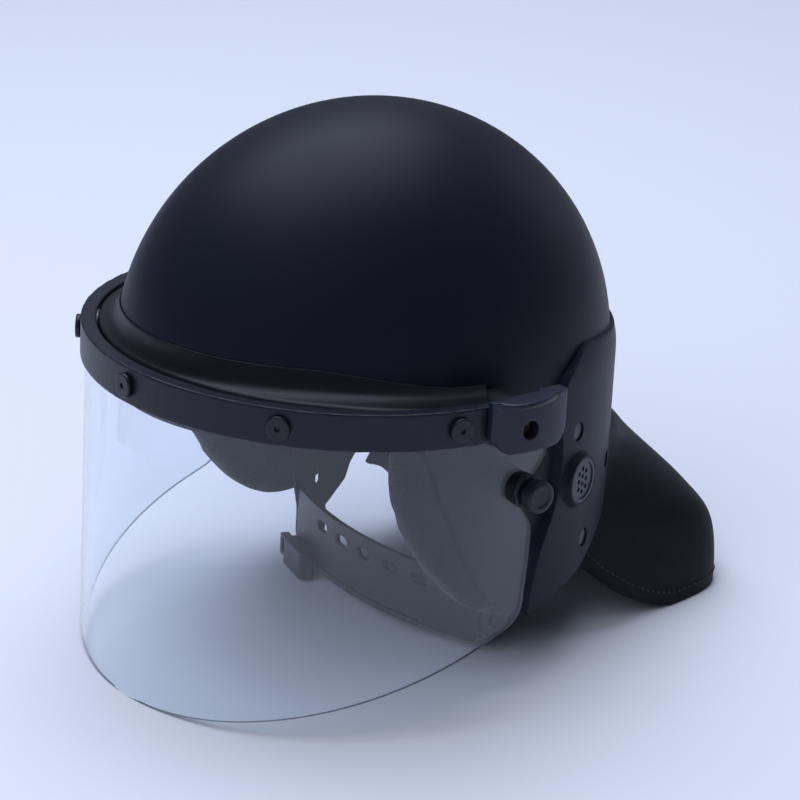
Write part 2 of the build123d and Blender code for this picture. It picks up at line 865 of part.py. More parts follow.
# Lock stud: a base on the shell, a collar that the notch closes on, and a thread pin
lock_seat = dome_half_width * sqrt(1 - ((lock_back - dome_setback) / dome_half_length) ** 2)
with BuildPart() as lock_stud_left:
    with BuildSketch(Plane.YZ.offset(lock_seat - shell_wall)):
        with Locations((lock_back, -lock_drop)):
            Circle(lock_base_radius)
    extrude(amount=shield_inner - 2 * stack_gap - lock_seat + shell_wall)
    with BuildSketch(Plane.YZ.offset(shield_inner - overrun)):
        with Locations((lock_back, -lock_drop)):
            Circle(lock_collar_radius)
    extrude(amount=shield_wall + overrun + 2 * stack_gap)
    with Locations((0, dome_setback, 0)):
        add(outer_form.part, mode=Mode.SUBTRACT)
    with BuildSketch(Plane.YZ.offset(lock_seat - hinge_nut_height - 2 * shell_wall)):
        with Locations((lock_back, -lock_drop)):
            Circle(lock_stud_radius)
    extrude(amount=lock_stud_length)
lock_stud_left.part.label = "lock_stud_left"
lock_stud_left.part.move(rest_place)
export_step(lock_stud_left.part, "parts/lock_stud_left.step")

with BuildPart() as lock_stud_right:
    mirror(lock_stud_left.part, about=Plane.YZ)
lock_stud_right.part.label = "lock_stud_right"
export_step(lock_stud_right.part, "parts/lock_stud_right.step")

lock_face = shield_inner + shield_wall + 4 * stack_gap
with BuildPart() as lock_knob_left:
    with BuildSketch(Plane.YZ.offset(lock_face)):
        with Locations((lock_back, -lock_drop)):
            Circle(lock_flange_radius)
    extrude(amount=lock_flange)
    with BuildSketch(Plane.YZ.offset(lock_face)):
        with Locations((lock_back, -lock_drop)):
            Circle(lock_neck_radius)
    extrude(amount=lock_knob_height - knob_head)
    with BuildSketch(Plane.YZ.offset(lock_face + lock_knob_height - knob_head)):
        with Locations((lock_back, -lock_drop)):
            Circle(lock_knob_radius)
    extrude(amount=knob_head)
    fillet(edges().group_by(Axis.X)[-1], radius=knob_edge)
    with BuildSketch(Plane.YZ.offset(lock_face + lock_knob_height)):
        with Locations((lock_back, -lock_drop)):
            Circle(lock_knob_radius - knob_edge - knob_rim)
    extrude(amount=-knob_dish, mode=Mode.SUBTRACT)
    with BuildSketch(Plane.YZ.offset(lock_face)):
        with Locations((lock_back, -lock_drop)):
            Circle(lock_stud_radius + spigot_clearance)
    extrude(amount=lock_knob_height - knob_head / 2, mode=Mode.SUBTRACT)
lock_knob_left.part.label = "lock_knob_left"
lock_knob_left.part.move(rest_place)
export_step(lock_knob_left.part, "parts/lock_knob_left.step")

with BuildPart() as lock_knob_right:
    mirror(lock_knob_left.part, about=Plane.YZ)
lock_knob_right.part.label = "lock_knob_right"
export_step(lock_knob_right.part, "parts/lock_knob_right.step")

with BuildPart() as lock_nut_left:
    with BuildSketch(Plane.YZ.offset(lock_seat - shell_wall - nut_gap)):
        with Locations((lock_back, -lock_drop)):
            RegularPolygon(hinge_nut_radius, side_count=6)
            Circle(lock_stud_radius + stack_gap / 2, mode=Mode.SUBTRACT)
    extrude(amount=-hinge_nut_height)
lock_nut_left.part.label = "lock_nut_left"
lock_nut_left.part.move(rest_place)
export_step(lock_nut_left.part, "parts/lock_nut_left.step")

with BuildPart() as lock_nut_right:
    mirror(lock_nut_left.part, about=Plane.YZ)
lock_nut_right.part.label = "lock_nut_right"
export_step(lock_nut_right.part, "parts/lock_nut_right.step")

# Grille of the hearing port: a rimmed disc with rows of three, four and three holes
with BuildPart() as ear_grille_left:
    with BuildSketch(port_plane.offset(port_rise - grille_seat + stack_gap)):
        Circle(grille_radius)
    extrude(amount=grille_thickness)
    with BuildSketch(port_plane.offset(port_rise - grille_seat + stack_gap + grille_thickness)):
        Circle(grille_radius)
        Circle(grille_radius - grille_thickness, mode=Mode.SUBTRACT)
    extrude(amount=grille_rim)
    with BuildSketch(port_plane.offset(port_rise - grille_seat)):
        with GridLocations(grille_pitch, 2 * grille_row, 3, 2):
            Circle(grille_hole)
        with GridLocations(grille_pitch, grille_row, 4, 1):
            Circle(grille_hole)
    extrude(amount=overrun, mode=Mode.SUBTRACT)
ear_grille_left.part.label = "ear_grille_left"
ear_grille_left.part.move(rest_place)
export_step(ear_grille_left.part, "parts/ear_grille_left.step")

with BuildPart() as ear_grille_right:
    mirror(ear_grille_left.part, about=Plane.YZ)
ear_grille_right.part.label = "ear_grille_right"
export_step(ear_grille_right.part, "parts/ear_grille_right.step")

# Neck guard: thick leather that follows the shell inside, then flares to a squarer rim
def guard_loop(half_width, half_length, fullness):
    """Half a squared ellipse from the left side round the back, as evenly spaced points."""
    fine = []
    lengths = [0.0]
    for step in range(guard_fine_steps + 1):
        turn = guard_start + (pi - 2 * guard_start) * step / guard_fine_steps
        across = abs(cos(turn) / half_width) ** fullness
        along = (sin(turn) / half_length) ** fullness
        reach = (across + along) ** (-1 / fullness)
        fine.append((reach * cos(turn), dome_setback + reach * sin(turn)))
    for first, last in zip(fine, fine[1:]):
        lengths.append(lengths[-1] + sqrt((last[0] - first[0]) ** 2 + (last[1] - first[1]) ** 2))
    points = []
    for step in range(guard_steps + 1):
        wanted = lengths[-1] * step / guard_steps
        points.append(fine[min(range(len(fine)), key=lambda place: abs(lengths[place] - wanted))])
    return points


def guard_rings(inset):
    """The guard's rings from the nape down, all moved inward by the inset."""
    return [
        (down, guard_loop(across - inset, along - inset, fullness))
        for down, across, along, fullness in guard_levels
    ]


with BuildPart() as guard_outer:
    rings = guard_rings(0)
    with BuildSketch(Plane.XY.offset(-nape_depth)):
        with BuildLine():
            Spline(*rings[0][1])
            Polyline(rings[0][1][-1], (rings[0][1][-1][0], 0), (rings[0][1][0][0], 0), rings[0][1][0])
        make_face()
    extrude(amount=nape_depth - guard_tuck)
    for down, ring in rings:
        with BuildSketch(Plane.XY.offset(-down)):
            with BuildLine():
                Spline(*ring)
                Polyline(ring[-1], (ring[-1][0], 0), (ring[0][0], 0), ring[0])
            make_face()
    loft(ruled=True)

with BuildPart() as guard_inner:
    rings = guard_rings(guard_wall)
    with BuildSketch(Plane.XY.offset(-nape_depth)):
        with BuildLine():
            Spline(*rings[0][1])
            Polyline(
                rings[0][1][-1],
                (rings[0][1][-1][0], -overrun),
                (rings[0][1][0][0], -overrun),
                rings[0][1][0],
            )
        make_face()
    extrude(amount=nape_depth)
    for down, ring in rings:
        with BuildSketch(Plane.XY.offset(-down)):
            with BuildLine():
                Spline(*ring)
                Polyline(ring[-1], (ring[-1][0], -overrun), (ring[0][0], -overrun), ring[0])
            make_face()
    loft(ruled=True)

# Bores for the rivets that hold the guard, one on each side
with BuildPart() as guard_bores:
    with BuildSketch(flap_screw_planes[1].offset(-overrun)):
        Circle(flap_shank_radius + shield_bore_clearance)
    extrude(amount=2 * overrun)
    mirror(about=Plane.YZ)

guard_edge = [(guard_back * along, -guard_foot * down) for along, down in guard_edge_shares]
guard_heel = guard_back * guard_heel_share
with BuildPart() as neck_guard:
    add(guard_outer.part)
    add(guard_inner.part, mode=Mode.SUBTRACT)
    with BuildSketch(Plane.YZ):
        with BuildLine():
            Polyline(
                *guard_edge,
                (guard_heel, -shield_depth + ground_slope * (shield_front + guard_heel)),
                (
                    guard_back + overrun,
                    -shield_depth + ground_slope * (shield_front + guard_back + overrun),
                ),
                (guard_back + overrun, 0),
                (guard_edge[0][0], 0),
                close=True,
            )
        make_face()
    extrude(amount=guard_half_width + overrun, both=True, mode=Mode.INTERSECT)
    add(guard_bores.part, mode=Mode.SUBTRACT)
neck_guard.part.label = "neck_guard"
neck_guard.part.move(rest_place)
export_step(neck_guard.part, "parts/neck_guard.step")

# Impact liner: a foam dome inside the shell, grooved underneath for air
with BuildPart() as liner_form:
    Sphere(radius=dome_inner_half_length - liner_gap)
    scale(
        by=(
            (dome_inner_half_width - liner_gap) / (dome_inner_half_length - liner_gap),
            1,
            (dome_inner_height - liner_gap) / (dome_inner_half_length - liner_gap),
        )
    )

with BuildPart() as liner_hollow:
    Sphere(radius=dome_inner_half_length - liner_wall)
    scale(
        by=(
            (dome_inner_half_width - liner_wall) / (dome_inner_half_length - liner_wall),
            1,
            (dome_inner_height - liner_wall) / (dome_inner_half_length - liner_wall),
        )
    )

with BuildPart() as pad_form:
    Sphere(radius=dome_inner_half_length - liner_wall - pad_gap)
    scale(
        by=(
            (dome_inner_half_width - liner_wall - pad_gap)
            / (dome_inner_half_length - liner_wall - pad_gap),
            1,
            (dome_inner_height - liner_wall - pad_gap)
            / (dome_inner_half_length - liner_wall - pad_gap),
        )
    )

with BuildPart() as pad_hollow:
    Sphere(radius=dome_inner_half_length - liner_wall - brow_pad_wall)
    scale(
        by=(
            (dome_inner_half_width - liner_wall - brow_pad_wall)
            / (dome_inner_half_length - liner_wall - brow_pad_wall),
            1,
            (dome_inner_height - liner_wall - brow_pad_wall)
            / (dome_inner_half_length - liner_wall - brow_pad_wall),
        )
    )

with BuildPart() as impact_liner:
    with Locations((0, dome_setback, 0)):
        add(liner_form.part)
    with Locations((0, dome_setback, 0)):
        add(liner_hollow.part, mode=Mode.SUBTRACT)
    split(bisect_by=Plane.XY, keep=Keep.TOP)
    with BuildSketch(*[place.offset(hinge_seat - 4 * shell_wall) for place in screw_places]):
        Circle(hinge_nut_radius + nut_pocket)
    extrude(amount=overrun, mode=Mode.SUBTRACT)
    with BuildSketch(Plane.XY):
        with Locations((0, dome_setback)):
            for turn in groove_turns:
                with Locations(Rotation(0, 0, turn)):
                    SlotOverall(groove_length, groove_width)
    extrude(amount=dome_inner_height - liner_wall + groove_depth, mode=Mode.SUBTRACT)
impact_liner.part.label = "impact_liner"
impact_liner.part.move(rest_place)
export_step(impact_liner.part, "parts/impact_liner.step")

# Crown pad: a padded cross against the liner
with BuildPart() as crown_pad:
    with Locations((0, dome_setback, 0)):
        add(pad_form.part)
    with Locations((0, dome_setback, 0)):
        add(pad_hollow.part, mode=Mode.SUBTRACT)
    with BuildSketch(Plane.XY):
        with Locations((0, dome_setback)):
            SlotOverall(2 * crown_pad_reach, crown_pad_band)
            SlotOverall(2 * crown_pad_reach, crown_pad_band, rotation=90)
    extrude(amount=dome_height, mode=Mode.INTERSECT)
crown_pad.part.label = "crown_pad"
crown_pad.part.move(rest_place)
export_step(crown_pad.part, "parts/crown_pad.step")

# Brow pad: a band of foam across the forehead
with BuildPart() as brow_pad:
    with Locations((0, dome_setback, 0)):
        add(pad_form.part)
    with Locations((0, dome_setback, 0)):
        add(pad_hollow.part, mode=Mode.SUBTRACT)
    with BuildSketch(Plane.XY):
        with Locations((0, -brow_pad_end)):
            Rectangle(
                2 * dome_half_width,
                dome_half_length,
                align=(Align.CENTER, Align.MAX),
            )
    extrude(amount=brow_pad_height, mode=Mode.INTERSECT)
brow_pad.part.label = "brow_pad"
brow_pad.part.move(rest_place)
export_step(brow_pad.part, "parts/brow_pad.step")

# Nape pad: a band of foam behind the head, under the liner
with BuildPart() as nape_pad:
    with BuildSketch(Plane.XY.offset(-nape_depth)):
        with Locations((0, dome_setback)):
            Ellipse(dome_inner_half_width - nape_pad_gap, dome_inner_half_length - nape_pad_gap)
            Ellipse(
                dome_inner_half_width - nape_pad_gap - nape_pad_wall,
                dome_inner_half_length - nape_pad_gap - nape_pad_wall,
                mode=Mode.SUBTRACT,
            )
    extrude(amount=nape_pad_height)
    split(bisect_by=Plane.XZ.offset(-nape_pad_start), keep=Keep.BOTTOM)
nape_pad.part.label = "nape_pad"
nape_pad.part.move(rest_place)
export_step(nape_pad.part, "parts/nape_pad.step")

# Ear pad: a thick crescent inside the flap, with an opening for the ear
ear_points = [(ear_pad_reach * along, -ear_pad_depth * down) for along, down in ear_pad_shares]
with BuildPart() as ear_pad_left:
    with BuildSketch(Plane.YZ.offset(ear_pad_inner)):
        with BuildLine():
            Spline(*ear_points, periodic=True)
        make_face()
    extrude(amount=dome_half_width - ear_pad_inner)
    with BuildSketch(Plane.YZ.offset(ear_pad_inner)):
        with Locations((ear_hole_back, -ear_hole_drop)):
            Ellipse(ear_hole_half_width, ear_hole_half_height)
    extrude(amount=ear_hole_depth, mode=Mode.SUBTRACT)
    fillet(faces().sort_by(Axis.X)[0].edges(), radius=ear_pad_round)
    with BuildSketch(Plane.YZ.offset(lock_seat - hinge_nut_height - 3 * shell_wall)):
        with Locations((0, 0), (lock_back, -lock_drop)):
            Circle(hinge_nut_radius + nut_pocket)
    extrude(amount=overrun, mode=Mode.SUBTRACT)
    with BuildSketch(Plane.XY.offset(-wall_depth)):
        with Locations((0, dome_setback)):
            Ellipse(dome_inner_half_width - pad_gap, dome_inner_half_length - pad_gap)
    extrude(amount=wall_depth, mode=Mode.INTERSECT)
ear_pad_left.part.label = "ear_pad_left"
ear_pad_left.part.move(rest_place)
export_step(ear_pad_left.part, "parts/ear_pad_left.step")

with BuildPart() as ear_pad_right:
    mirror(ear_pad_left.part, about=Plane.YZ)
ear_pad_right.part.label = "ear_pad_right"
export_step(ear_pad_right.part, "parts/ear_pad_right.step")

# Side strap: a moulded gusset that runs down from the ear pad to the chin band
strap_outer = ear_pad_inner - strap_gap
chin_low = -shield_depth + ground_slope * (shield_front + chin_back) + chin_lift
strap_points = [
    (ear_pad_reach * along, -ear_pad_depth * down) for along, down in strap_pad_shares
] + [(ear_pad_reach * along, chin_low + chin_height * up) for along, up in strap_band_shares]
strap_pin_up = chin_low + chin_height * strap_pin_shares[1]
strap_pin_along = ear_pad_reach * strap_pin_shares[0]
with BuildPart() as side_strap_left:
    with BuildSketch(Plane.YZ.offset(strap_outer)):
        with BuildLine():
            Polyline(*strap_points, close=True)
        make_face()
        fillet(vertices(), radius=strap_round)
        with Locations((strap_pin_along, strap_pin_up)):
            Circle(strap_pin_radius + spigot_clearance, mode=Mode.SUBTRACT)
        with Locations((strap_pin_along + strap_slit_shift, strap_pin_up + strap_slit_rise)):
            SlotOverall(strap_slit_length, strap_slit_width, rotation=90, mode=Mode.SUBTRACT)
    extrude(amount=-strap_wall)
side_strap_left.part.label = "side_strap_left"
side_strap_left.part.move(rest_place)
export_step(side_strap_left.part, "parts/side_strap_left.step")

with BuildPart() as side_strap_right:
    mirror(side_strap_left.part, about=Plane.YZ)
side_strap_right.part.label = "side_strap_right"
export_step(side_strap_right.part, "parts/side_strap_right.step")

# Chin band: a bowed strip with a foot, five slots and a lug at each end
lug_outer = strap_outer - strap_wall - strap_gap / 2
chin_reach = lug_outer - chin_wall / 2
chin_radius = (chin_reach**2 + chin_bow**2) / (2 * chin_bow)
chin_centre = chin_back - chin_bow + chin_radius
chin_foot_back = chin_centre - sqrt(chin_radius**2 - chin_foot_half_length**2)
with BuildPart() as chin_band:
    with BuildSketch(Plane.XY.offset(chin_low)):
        with BuildLine():
            ThreePointArc(
                (-chin_reach, chin_back), (0, chin_back - chin_bow), (chin_reach, chin_back)
            )
        trace(line_width=chin_wall)
    extrude(amount=chin_height)
    with BuildSketch(Plane.XZ):
        with Locations((0, chin_low + chin_height / 2)):
            RectangleRounded(2 * lug_outer, chin_height, radius=chin_round)
    extrude(amount=dome_half_length, both=True, mode=Mode.INTERSECT)
    with BuildSketch(Plane.XY.offset(chin_low)):
        with BuildLine():
            ThreePointArc(
                (-chin_foot_half_length, chin_foot_back - chin_foot / 3),
                (0, chin_back - chin_bow - chin_foot / 3),
                (chin_foot_half_length, chin_foot_back - chin_foot / 3),
            )
        trace(line_width=chin_foot)
    extrude(amount=chin_wall)
    with BuildSketch(Plane.XZ):
        with Locations((0, chin_low + chin_slot_rise)):
            with GridLocations(chin_slot_pitch, 0, 5, 1):
                SlotOverall(chin_slot_length, chin_slot_width)
    extrude(amount=dome_half_length, both=True, mode=Mode.SUBTRACT)
    for side in (1, -1):
        with BuildSketch(Plane.YZ.offset(side * lug_outer)):
            with Locations((chin_back - chin_wall / 2, strap_pin_up)):
                RectangleRounded(
                    lug_length,
                    lug_height,
                    radius=chin_round / 2,
                    align=(Align.MIN, Align.CENTER),
                )
            with Locations((strap_pin_along, strap_pin_up)):
                Circle(strap_pin_radius + spigot_clearance, mode=Mode.SUBTRACT)
        extrude(amount=-side * chin_wall)
chin_band.part.label = "chin_band"
chin_band.part.move(rest_place)
export_step(chin_band.part, "parts/chin_band.step")

with BuildPart() as strap_rivet_left:
    with BuildSketch(Plane.YZ.offset(lug_outer - chin_wall - strap_gap / 4)):
        with Locations((strap_pin_along, strap_pin_up)):
            Circle(strap_pin_radius + strap_wall)
    extrude(amount=-strap_wall)
    with BuildSketch(Plane.YZ.offset(lug_outer - chin_wall - strap_gap / 4)):
        with Locations((strap_pin_along, strap_pin_up)):
            Circle(strap_pin_radius)
    extrude(amount=chin_wall + strap_wall + strap_gap)
    with BuildSketch(Plane.YZ.offset(strap_outer + strap_gap / 4)):
        with Locations((strap_pin_along, strap_pin_up)):
            Circle(strap_pin_radius + strap_wall)
    extrude(amount=strap_wall)
strap_rivet_left.part.label = "strap_rivet_left"
strap_rivet_left.part.move(rest_place)
export_step(strap_rivet_left.part, "parts/strap_rivet_left.step")

with BuildPart() as strap_rivet_right:
    mirror(strap_rivet_left.part, about=Plane.YZ)
strap_rivet_right.part.label = "strap_rivet_right"
export_step(strap_rivet_right.part, "parts/strap_rivet_right.step")

# Buckle in front of the right end of the chin band: its housing leans with the band's curve
buckle_low = chin_low - buckle_drop
buckle_lean = buckle_place / chin_radius
buckle_rise = sqrt(1 - buckle_lean**2)
buckle_foot = (
    -(chin_radius + chin_wall / 2 + stack_gap / 2) * buckle_lean,
    chin_centre - (chin_radius + chin_wall / 2 + stack_gap / 2) * buckle_rise,
)
buckle_plane = Plane(
    origin=(buckle_foot[0], buckle_foot[1], 0),
    x_dir=(-buckle_rise, buckle_lean, 0),
    z_dir=(0, 0, 1),
)
buckle_end_plane = Plane(
    origin=(buckle_foot[0], buckle_foot[1], 0),
    x_dir=(-buckle_lean, -buckle_rise, 0),
    z_dir=(-buckle_rise, buckle_lean, 0),
)
tongue_plane = Plane(
    origin=(buckle_foot[0], buckle_foot[1], 0),
    x_dir=(-buckle_rise, buckle_lean, 0),
    z_dir=(buckle_lean, buckle_rise, 0),
)
with BuildPart() as buckle_housing:
    with BuildSketch(buckle_plane.offset(buckle_low)):
        RectangleRounded(
            buckle_length,
            buckle_depth,
            radius=buckle_round,
            align=(Align.CENTER, Align.MIN),
        )
    extrude(amount=buckle_height)
    fillet(edges().group_by(Axis.Z)[-1], radius=buckle_round / 2)
    with BuildSketch(buckle_end_plane.offset(buckle_length / 2)):
        with Locations((buckle_depth / 2, buckle_low + buckle_height / 2)):
            Rectangle(buckle_depth - 2 * buckle_wall, buckle_height - 2 * buckle_wall)
    extrude(amount=buckle_wall - buckle_length, mode=Mode.SUBTRACT)
buckle_housing.part.label = "buckle_housing"
buckle_housing.part.move(rest_place)
export_step(buckle_housing.part, "parts/buckle_housing.step")

with BuildPart() as buckle_tongue:
    with BuildSketch(tongue_plane.offset(-buckle_depth / 2)):
        with Locations((buckle_length / 2 + tongue_bar, buckle_low + buckle_height / 2)):
            Rectangle(
                tongue_bar + tongue_length,
                buckle_height - 2 * buckle_wall - 2 * tongue_clearance,
                align=(Align.MAX, Align.CENTER),
            )
        with Locations((buckle_length / 2 - tongue_length / 2, buckle_low + buckle_height / 2)):
            Rectangle(
                tongue_length + overrun,
                buckle_height / 4,
                align=(Align.MAX, Align.CENTER),
                mode=Mode.SUBTRACT,
            )
        with Locations((buckle_length / 2 + tongue_bar / 2, buckle_low + buckle_height / 2)):
            Rectangle(tongue_bar / 3, buckle_height / 2, mode=Mode.SUBTRACT)
    extrude(amount=buckle_depth / 2 - buckle_wall - tongue_clearance, both=True)
buckle_tongue.part.label = "buckle_tongue"
buckle_tongue.part.move(rest_place)
export_step(buckle_tongue.part, "parts/buckle_tongue.step")

# Shield screws and their inner nuts, from the wearer's right to the left
shield_stack = frame_wall + shield_fit + shield_wall
for number, place in enumerate(shield_screw_planes, start=1):
    with BuildPart() as shield_screw:
        with BuildSketch(place.offset(stack_gap)):
            Circle(shield_head_radius)
        extrude(amount=shield_head_height)
        fillet(edges().filter_by(GeomType.CIRCLE).sort_by(Axis.Z), radius=shield_head_height / 4)
        with BuildSketch(place.offset(stack_gap)):
            Circle(shield_shank_radius)
        extrude(amount=-shield_stack - shield_nut_height)
        with BuildSketch(place.offset(stack_gap + shield_head_height)):
            Circle(shield_socket_radius)
        extrude(amount=-shield_head_height / 2, mode=Mode.SUBTRACT)
    shield_screw.part.label = f"shield_screw_{number}"
    shield_screw.part.move(rest_place)
    export_step(shield_screw.part, f"parts/shield_screw_{number}.step")
    with BuildPart() as shield_nut:
        with BuildSketch(place.offset(-shield_stack - 2 * stack_gap)):
            Circle(shield_nut_radius)
            Circle(shield_shank_radius + spigot_clearance, mode=Mode.SUBTRACT)
        extrude(amount=-shield_nut_height)
    shield_nut.part.label = f"shield_nut_{number}"
    shield_nut.part.move(rest_place)
    export_step(shield_nut.part, f"parts/shield_nut_{number}.step")

# Flap rivets: the second one also carries the neck guard, with a shoulder in between
for number, place in enumerate(flap_screw_planes, start=1):
    with BuildPart() as flap_rivet_left:
        with BuildSketch(place.offset(-flap_head_sink)):
            Circle(flap_head_radius)
        extrude(amount=flap_head_height)
        with BuildSketch(place.offset(-flap_head_sink)):
            Circle(flap_shank_radius)
        extrude(amount=flap_head_sink - shell_wall - rivet_tails[number - 1])
        with BuildSketch(place.offset(-shell_wall - stack_gap)):
            Circle(flap_head_radius - stack_gap)
        extrude(amount=-rivet_shoulders[number - 1])
        with BuildSketch(place.offset(-shell_wall - rivet_tails[number - 1])):
            Circle(flap_head_radius - stack_gap)
        extrude(amount=-flap_head_height / 2)
    flap_rivet_left.part.label = f"flap_rivet_left_{number}"
    flap_rivet_left.part.move(rest_place)
    export_step(flap_rivet_left.part, f"parts/flap_rivet_left_{number}.step")
    with BuildPart() as flap_rivet_right:
        mirror(flap_rivet_left.part, about=Plane.YZ)
    flap_rivet_right.part.label = f"flap_rivet_right_{number}"
    export_step(flap_rivet_right.part, f"parts/flap_rivet_right_{number}.step")
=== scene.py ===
import json
from math import cos, hypot, pi, radians, sin, sqrt, tan

import bmesh
import bpy
from mathutils import Matrix, Vector, geometry


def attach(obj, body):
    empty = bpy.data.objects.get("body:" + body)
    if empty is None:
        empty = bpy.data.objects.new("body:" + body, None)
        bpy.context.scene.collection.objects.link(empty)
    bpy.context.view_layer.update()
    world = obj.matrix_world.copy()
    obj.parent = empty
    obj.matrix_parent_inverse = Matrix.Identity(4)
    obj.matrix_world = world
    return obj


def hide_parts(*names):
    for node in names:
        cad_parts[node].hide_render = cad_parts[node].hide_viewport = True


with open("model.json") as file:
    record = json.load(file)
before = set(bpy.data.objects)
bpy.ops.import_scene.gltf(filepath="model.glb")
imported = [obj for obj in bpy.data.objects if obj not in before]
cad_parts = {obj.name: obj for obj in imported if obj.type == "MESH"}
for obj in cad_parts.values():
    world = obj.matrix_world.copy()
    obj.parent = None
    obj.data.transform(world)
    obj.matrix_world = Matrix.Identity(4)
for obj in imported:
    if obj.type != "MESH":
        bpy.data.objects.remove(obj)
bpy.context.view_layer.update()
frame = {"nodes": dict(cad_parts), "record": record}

nodes = frame["nodes"]
record = frame["record"]

# The source's building frame, in mm: the hinge axis is X, -Y the front, and the helmet is turned
# nose up by the rest pitch to stand on the ground
REST_PITCH = radians(3.5)
REST_MOVE = Vector((0, -22.76, 161.08))


def rest(x, y, z):
    """A point of the building frame, in mm, as it stands at rest, in metres."""
    turned = Vector((x, y, z)) @ Matrix.Rotation(REST_PITCH, 3, "X")
    return (turned + REST_MOVE) / 1000


# ---- materials

# Blender's wave pattern repeats after this length at a scale of 1
WAVE_REPEAT = 2 * pi / 20
# gloss drifts over about this length, as handling and the spray gun leave it
DRIFT_MM = 70.0


def hex_colour(code):
    """A linear colour from an sRGB hex code."""
    parts = [int(code[i : i + 2], 16) / 255 for i in (1, 3, 5)]
    return (*[p / 12.92 if p < 0.04045 else ((p + 0.055) / 1.055) ** 2.4 for p in parts], 1)


def node(tree, kind, inputs=None, **settings):
    """Adds one node, with its settings and its inputs: values, sockets, or nodes to link."""
    made = tree.nodes.new(kind)
    for name, value in settings.items():
        setattr(made, name, value)
    for key, value in (inputs or {}).items():
        if isinstance(value, bpy.types.Node):
            value = next(socket for socket in value.outputs if socket.enabled)
        if isinstance(value, bpy.types.NodeSocket):
            tree.links.new(value, made.inputs[key])
        else:
            made.inputs[key].default_value = value
    return made


def new_material(name):
    """An empty material, its node tree and the object coordinates that its patterns lie on."""
    material = bpy.data.materials.new(name)
    material.use_nodes = True
    tree = material.node_tree
    tree.nodes.clear()
    return material, tree, node(tree, "ShaderNodeTexCoord").outputs["Object"]


def moulded(name, colour, roughness, grain_mm, grain=0.1, edge_mm=0.5, specular=0.5, metal=0.0):
    """Moulded, painted or plated surface: fine grain, a slow drift in gloss, eased edges."""
    material, tree, place = new_material(name)
    drift = node(
        tree, "ShaderNodeTexNoise", {"Vector": place, "Scale": 1000 / DRIFT_MM, "Detail": 3.0}
    )
    gloss = node(
        tree,
        "ShaderNodeMapRange",
        {"Value": drift, "To Min": roughness * 0.9, "To Max": roughness * 1.1},
    )
    fine = node(tree, "ShaderNodeTexNoise", {"Vector": place, "Scale": 1000 / grain_mm})
    edges = node(tree, "ShaderNodeBevel", {"Radius": edge_mm / 1000}, samples=4)
    grained = node(
        tree,
        "ShaderNodeBump",
        {"Height": fine, "Strength": grain, "Distance": grain_mm / 20 / 1000, "Normal": edges},
    )
    surface = node(
        tree,
        "ShaderNodeBsdfPrincipled",
        {
            "Base Color": hex_colour(colour),
            "Roughness": gloss,
            "Specular IOR Level": specular,
            "Metallic": metal,
            "Normal": grained,
        },
    )
    node(tree, "ShaderNodeOutputMaterial", {"Surface": surface})
    return material


def polycarbonate_material():
    """Polycarbonate sheet, polished: clear, faintly cool, and lamp light passes through it."""
    material, tree, _ = new_material("polycarbonate_sheet")
    glass = node(
        tree,
        "ShaderNodeBsdfPrincipled",
        {
            "Base Color": hex_colour("#f7faff"),
            "Roughness": 0.0,
            "IOR": 1.45,
            "Specular IOR Level": 0.18,
            "Transmission Weight": 1.0,
        },
    )
    clear = node(tree, "ShaderNodeBsdfTransparent", {"Color": hex_colour("#f2f5f8")})
    path = node(tree, "ShaderNodeLightPath").outputs
    passing = node(
        tree,
        "ShaderNodeMath",
        {0: path["Is Shadow Ray"], 1: path["Is Diffuse Ray"]},
        operation="MAXIMUM",
    )
    mixed = node(tree, "ShaderNodeMixShader", {0: passing, 1: glass, 2: clear})
    node(tree, "ShaderNodeOutputMaterial", {"Surface": mixed})
    return material


def cut_edge_material():
    """Milled edge of the same sheet: a fine saw finish that lets some light by; its dark grey is
    painted shade for the dark line a clear edge shows.
    """
    material, tree, place = new_material("milled_sheet_edge")
    scratches = node(
        tree, "ShaderNodeTexNoise", {"Vector": place, "Scale": 1000 / 0.6, "Detail": 3.0}
    )
    gloss = node(tree, "ShaderNodeMapRange", {"Value": scratches, "To Min": 0.3, "To Max": 0.5})
    share = node(tree, "ShaderNodeMapRange", {"Value": scratches, "To Min": 0.2, "To Max": 0.35})
    # the dark grey base is painted shade: a clear milled edge looks this dark only by the light it
    # bends
    matt = node(
        tree,
        "ShaderNodeBsdfPrincipled",
        {"Base Color": hex_colour("#2a3038"), "Roughness": gloss, "Specular IOR Level": 0.4},
    )
    clear = node(tree, "ShaderNodeBsdfTransparent", {"Color": hex_colour("#d5dce4")})
    mixed = node(tree, "ShaderNodeMixShader", {0: share, 1: matt, 2: clear})
    node(tree, "ShaderNodeOutputMaterial", {"Surface": mixed})
    return material


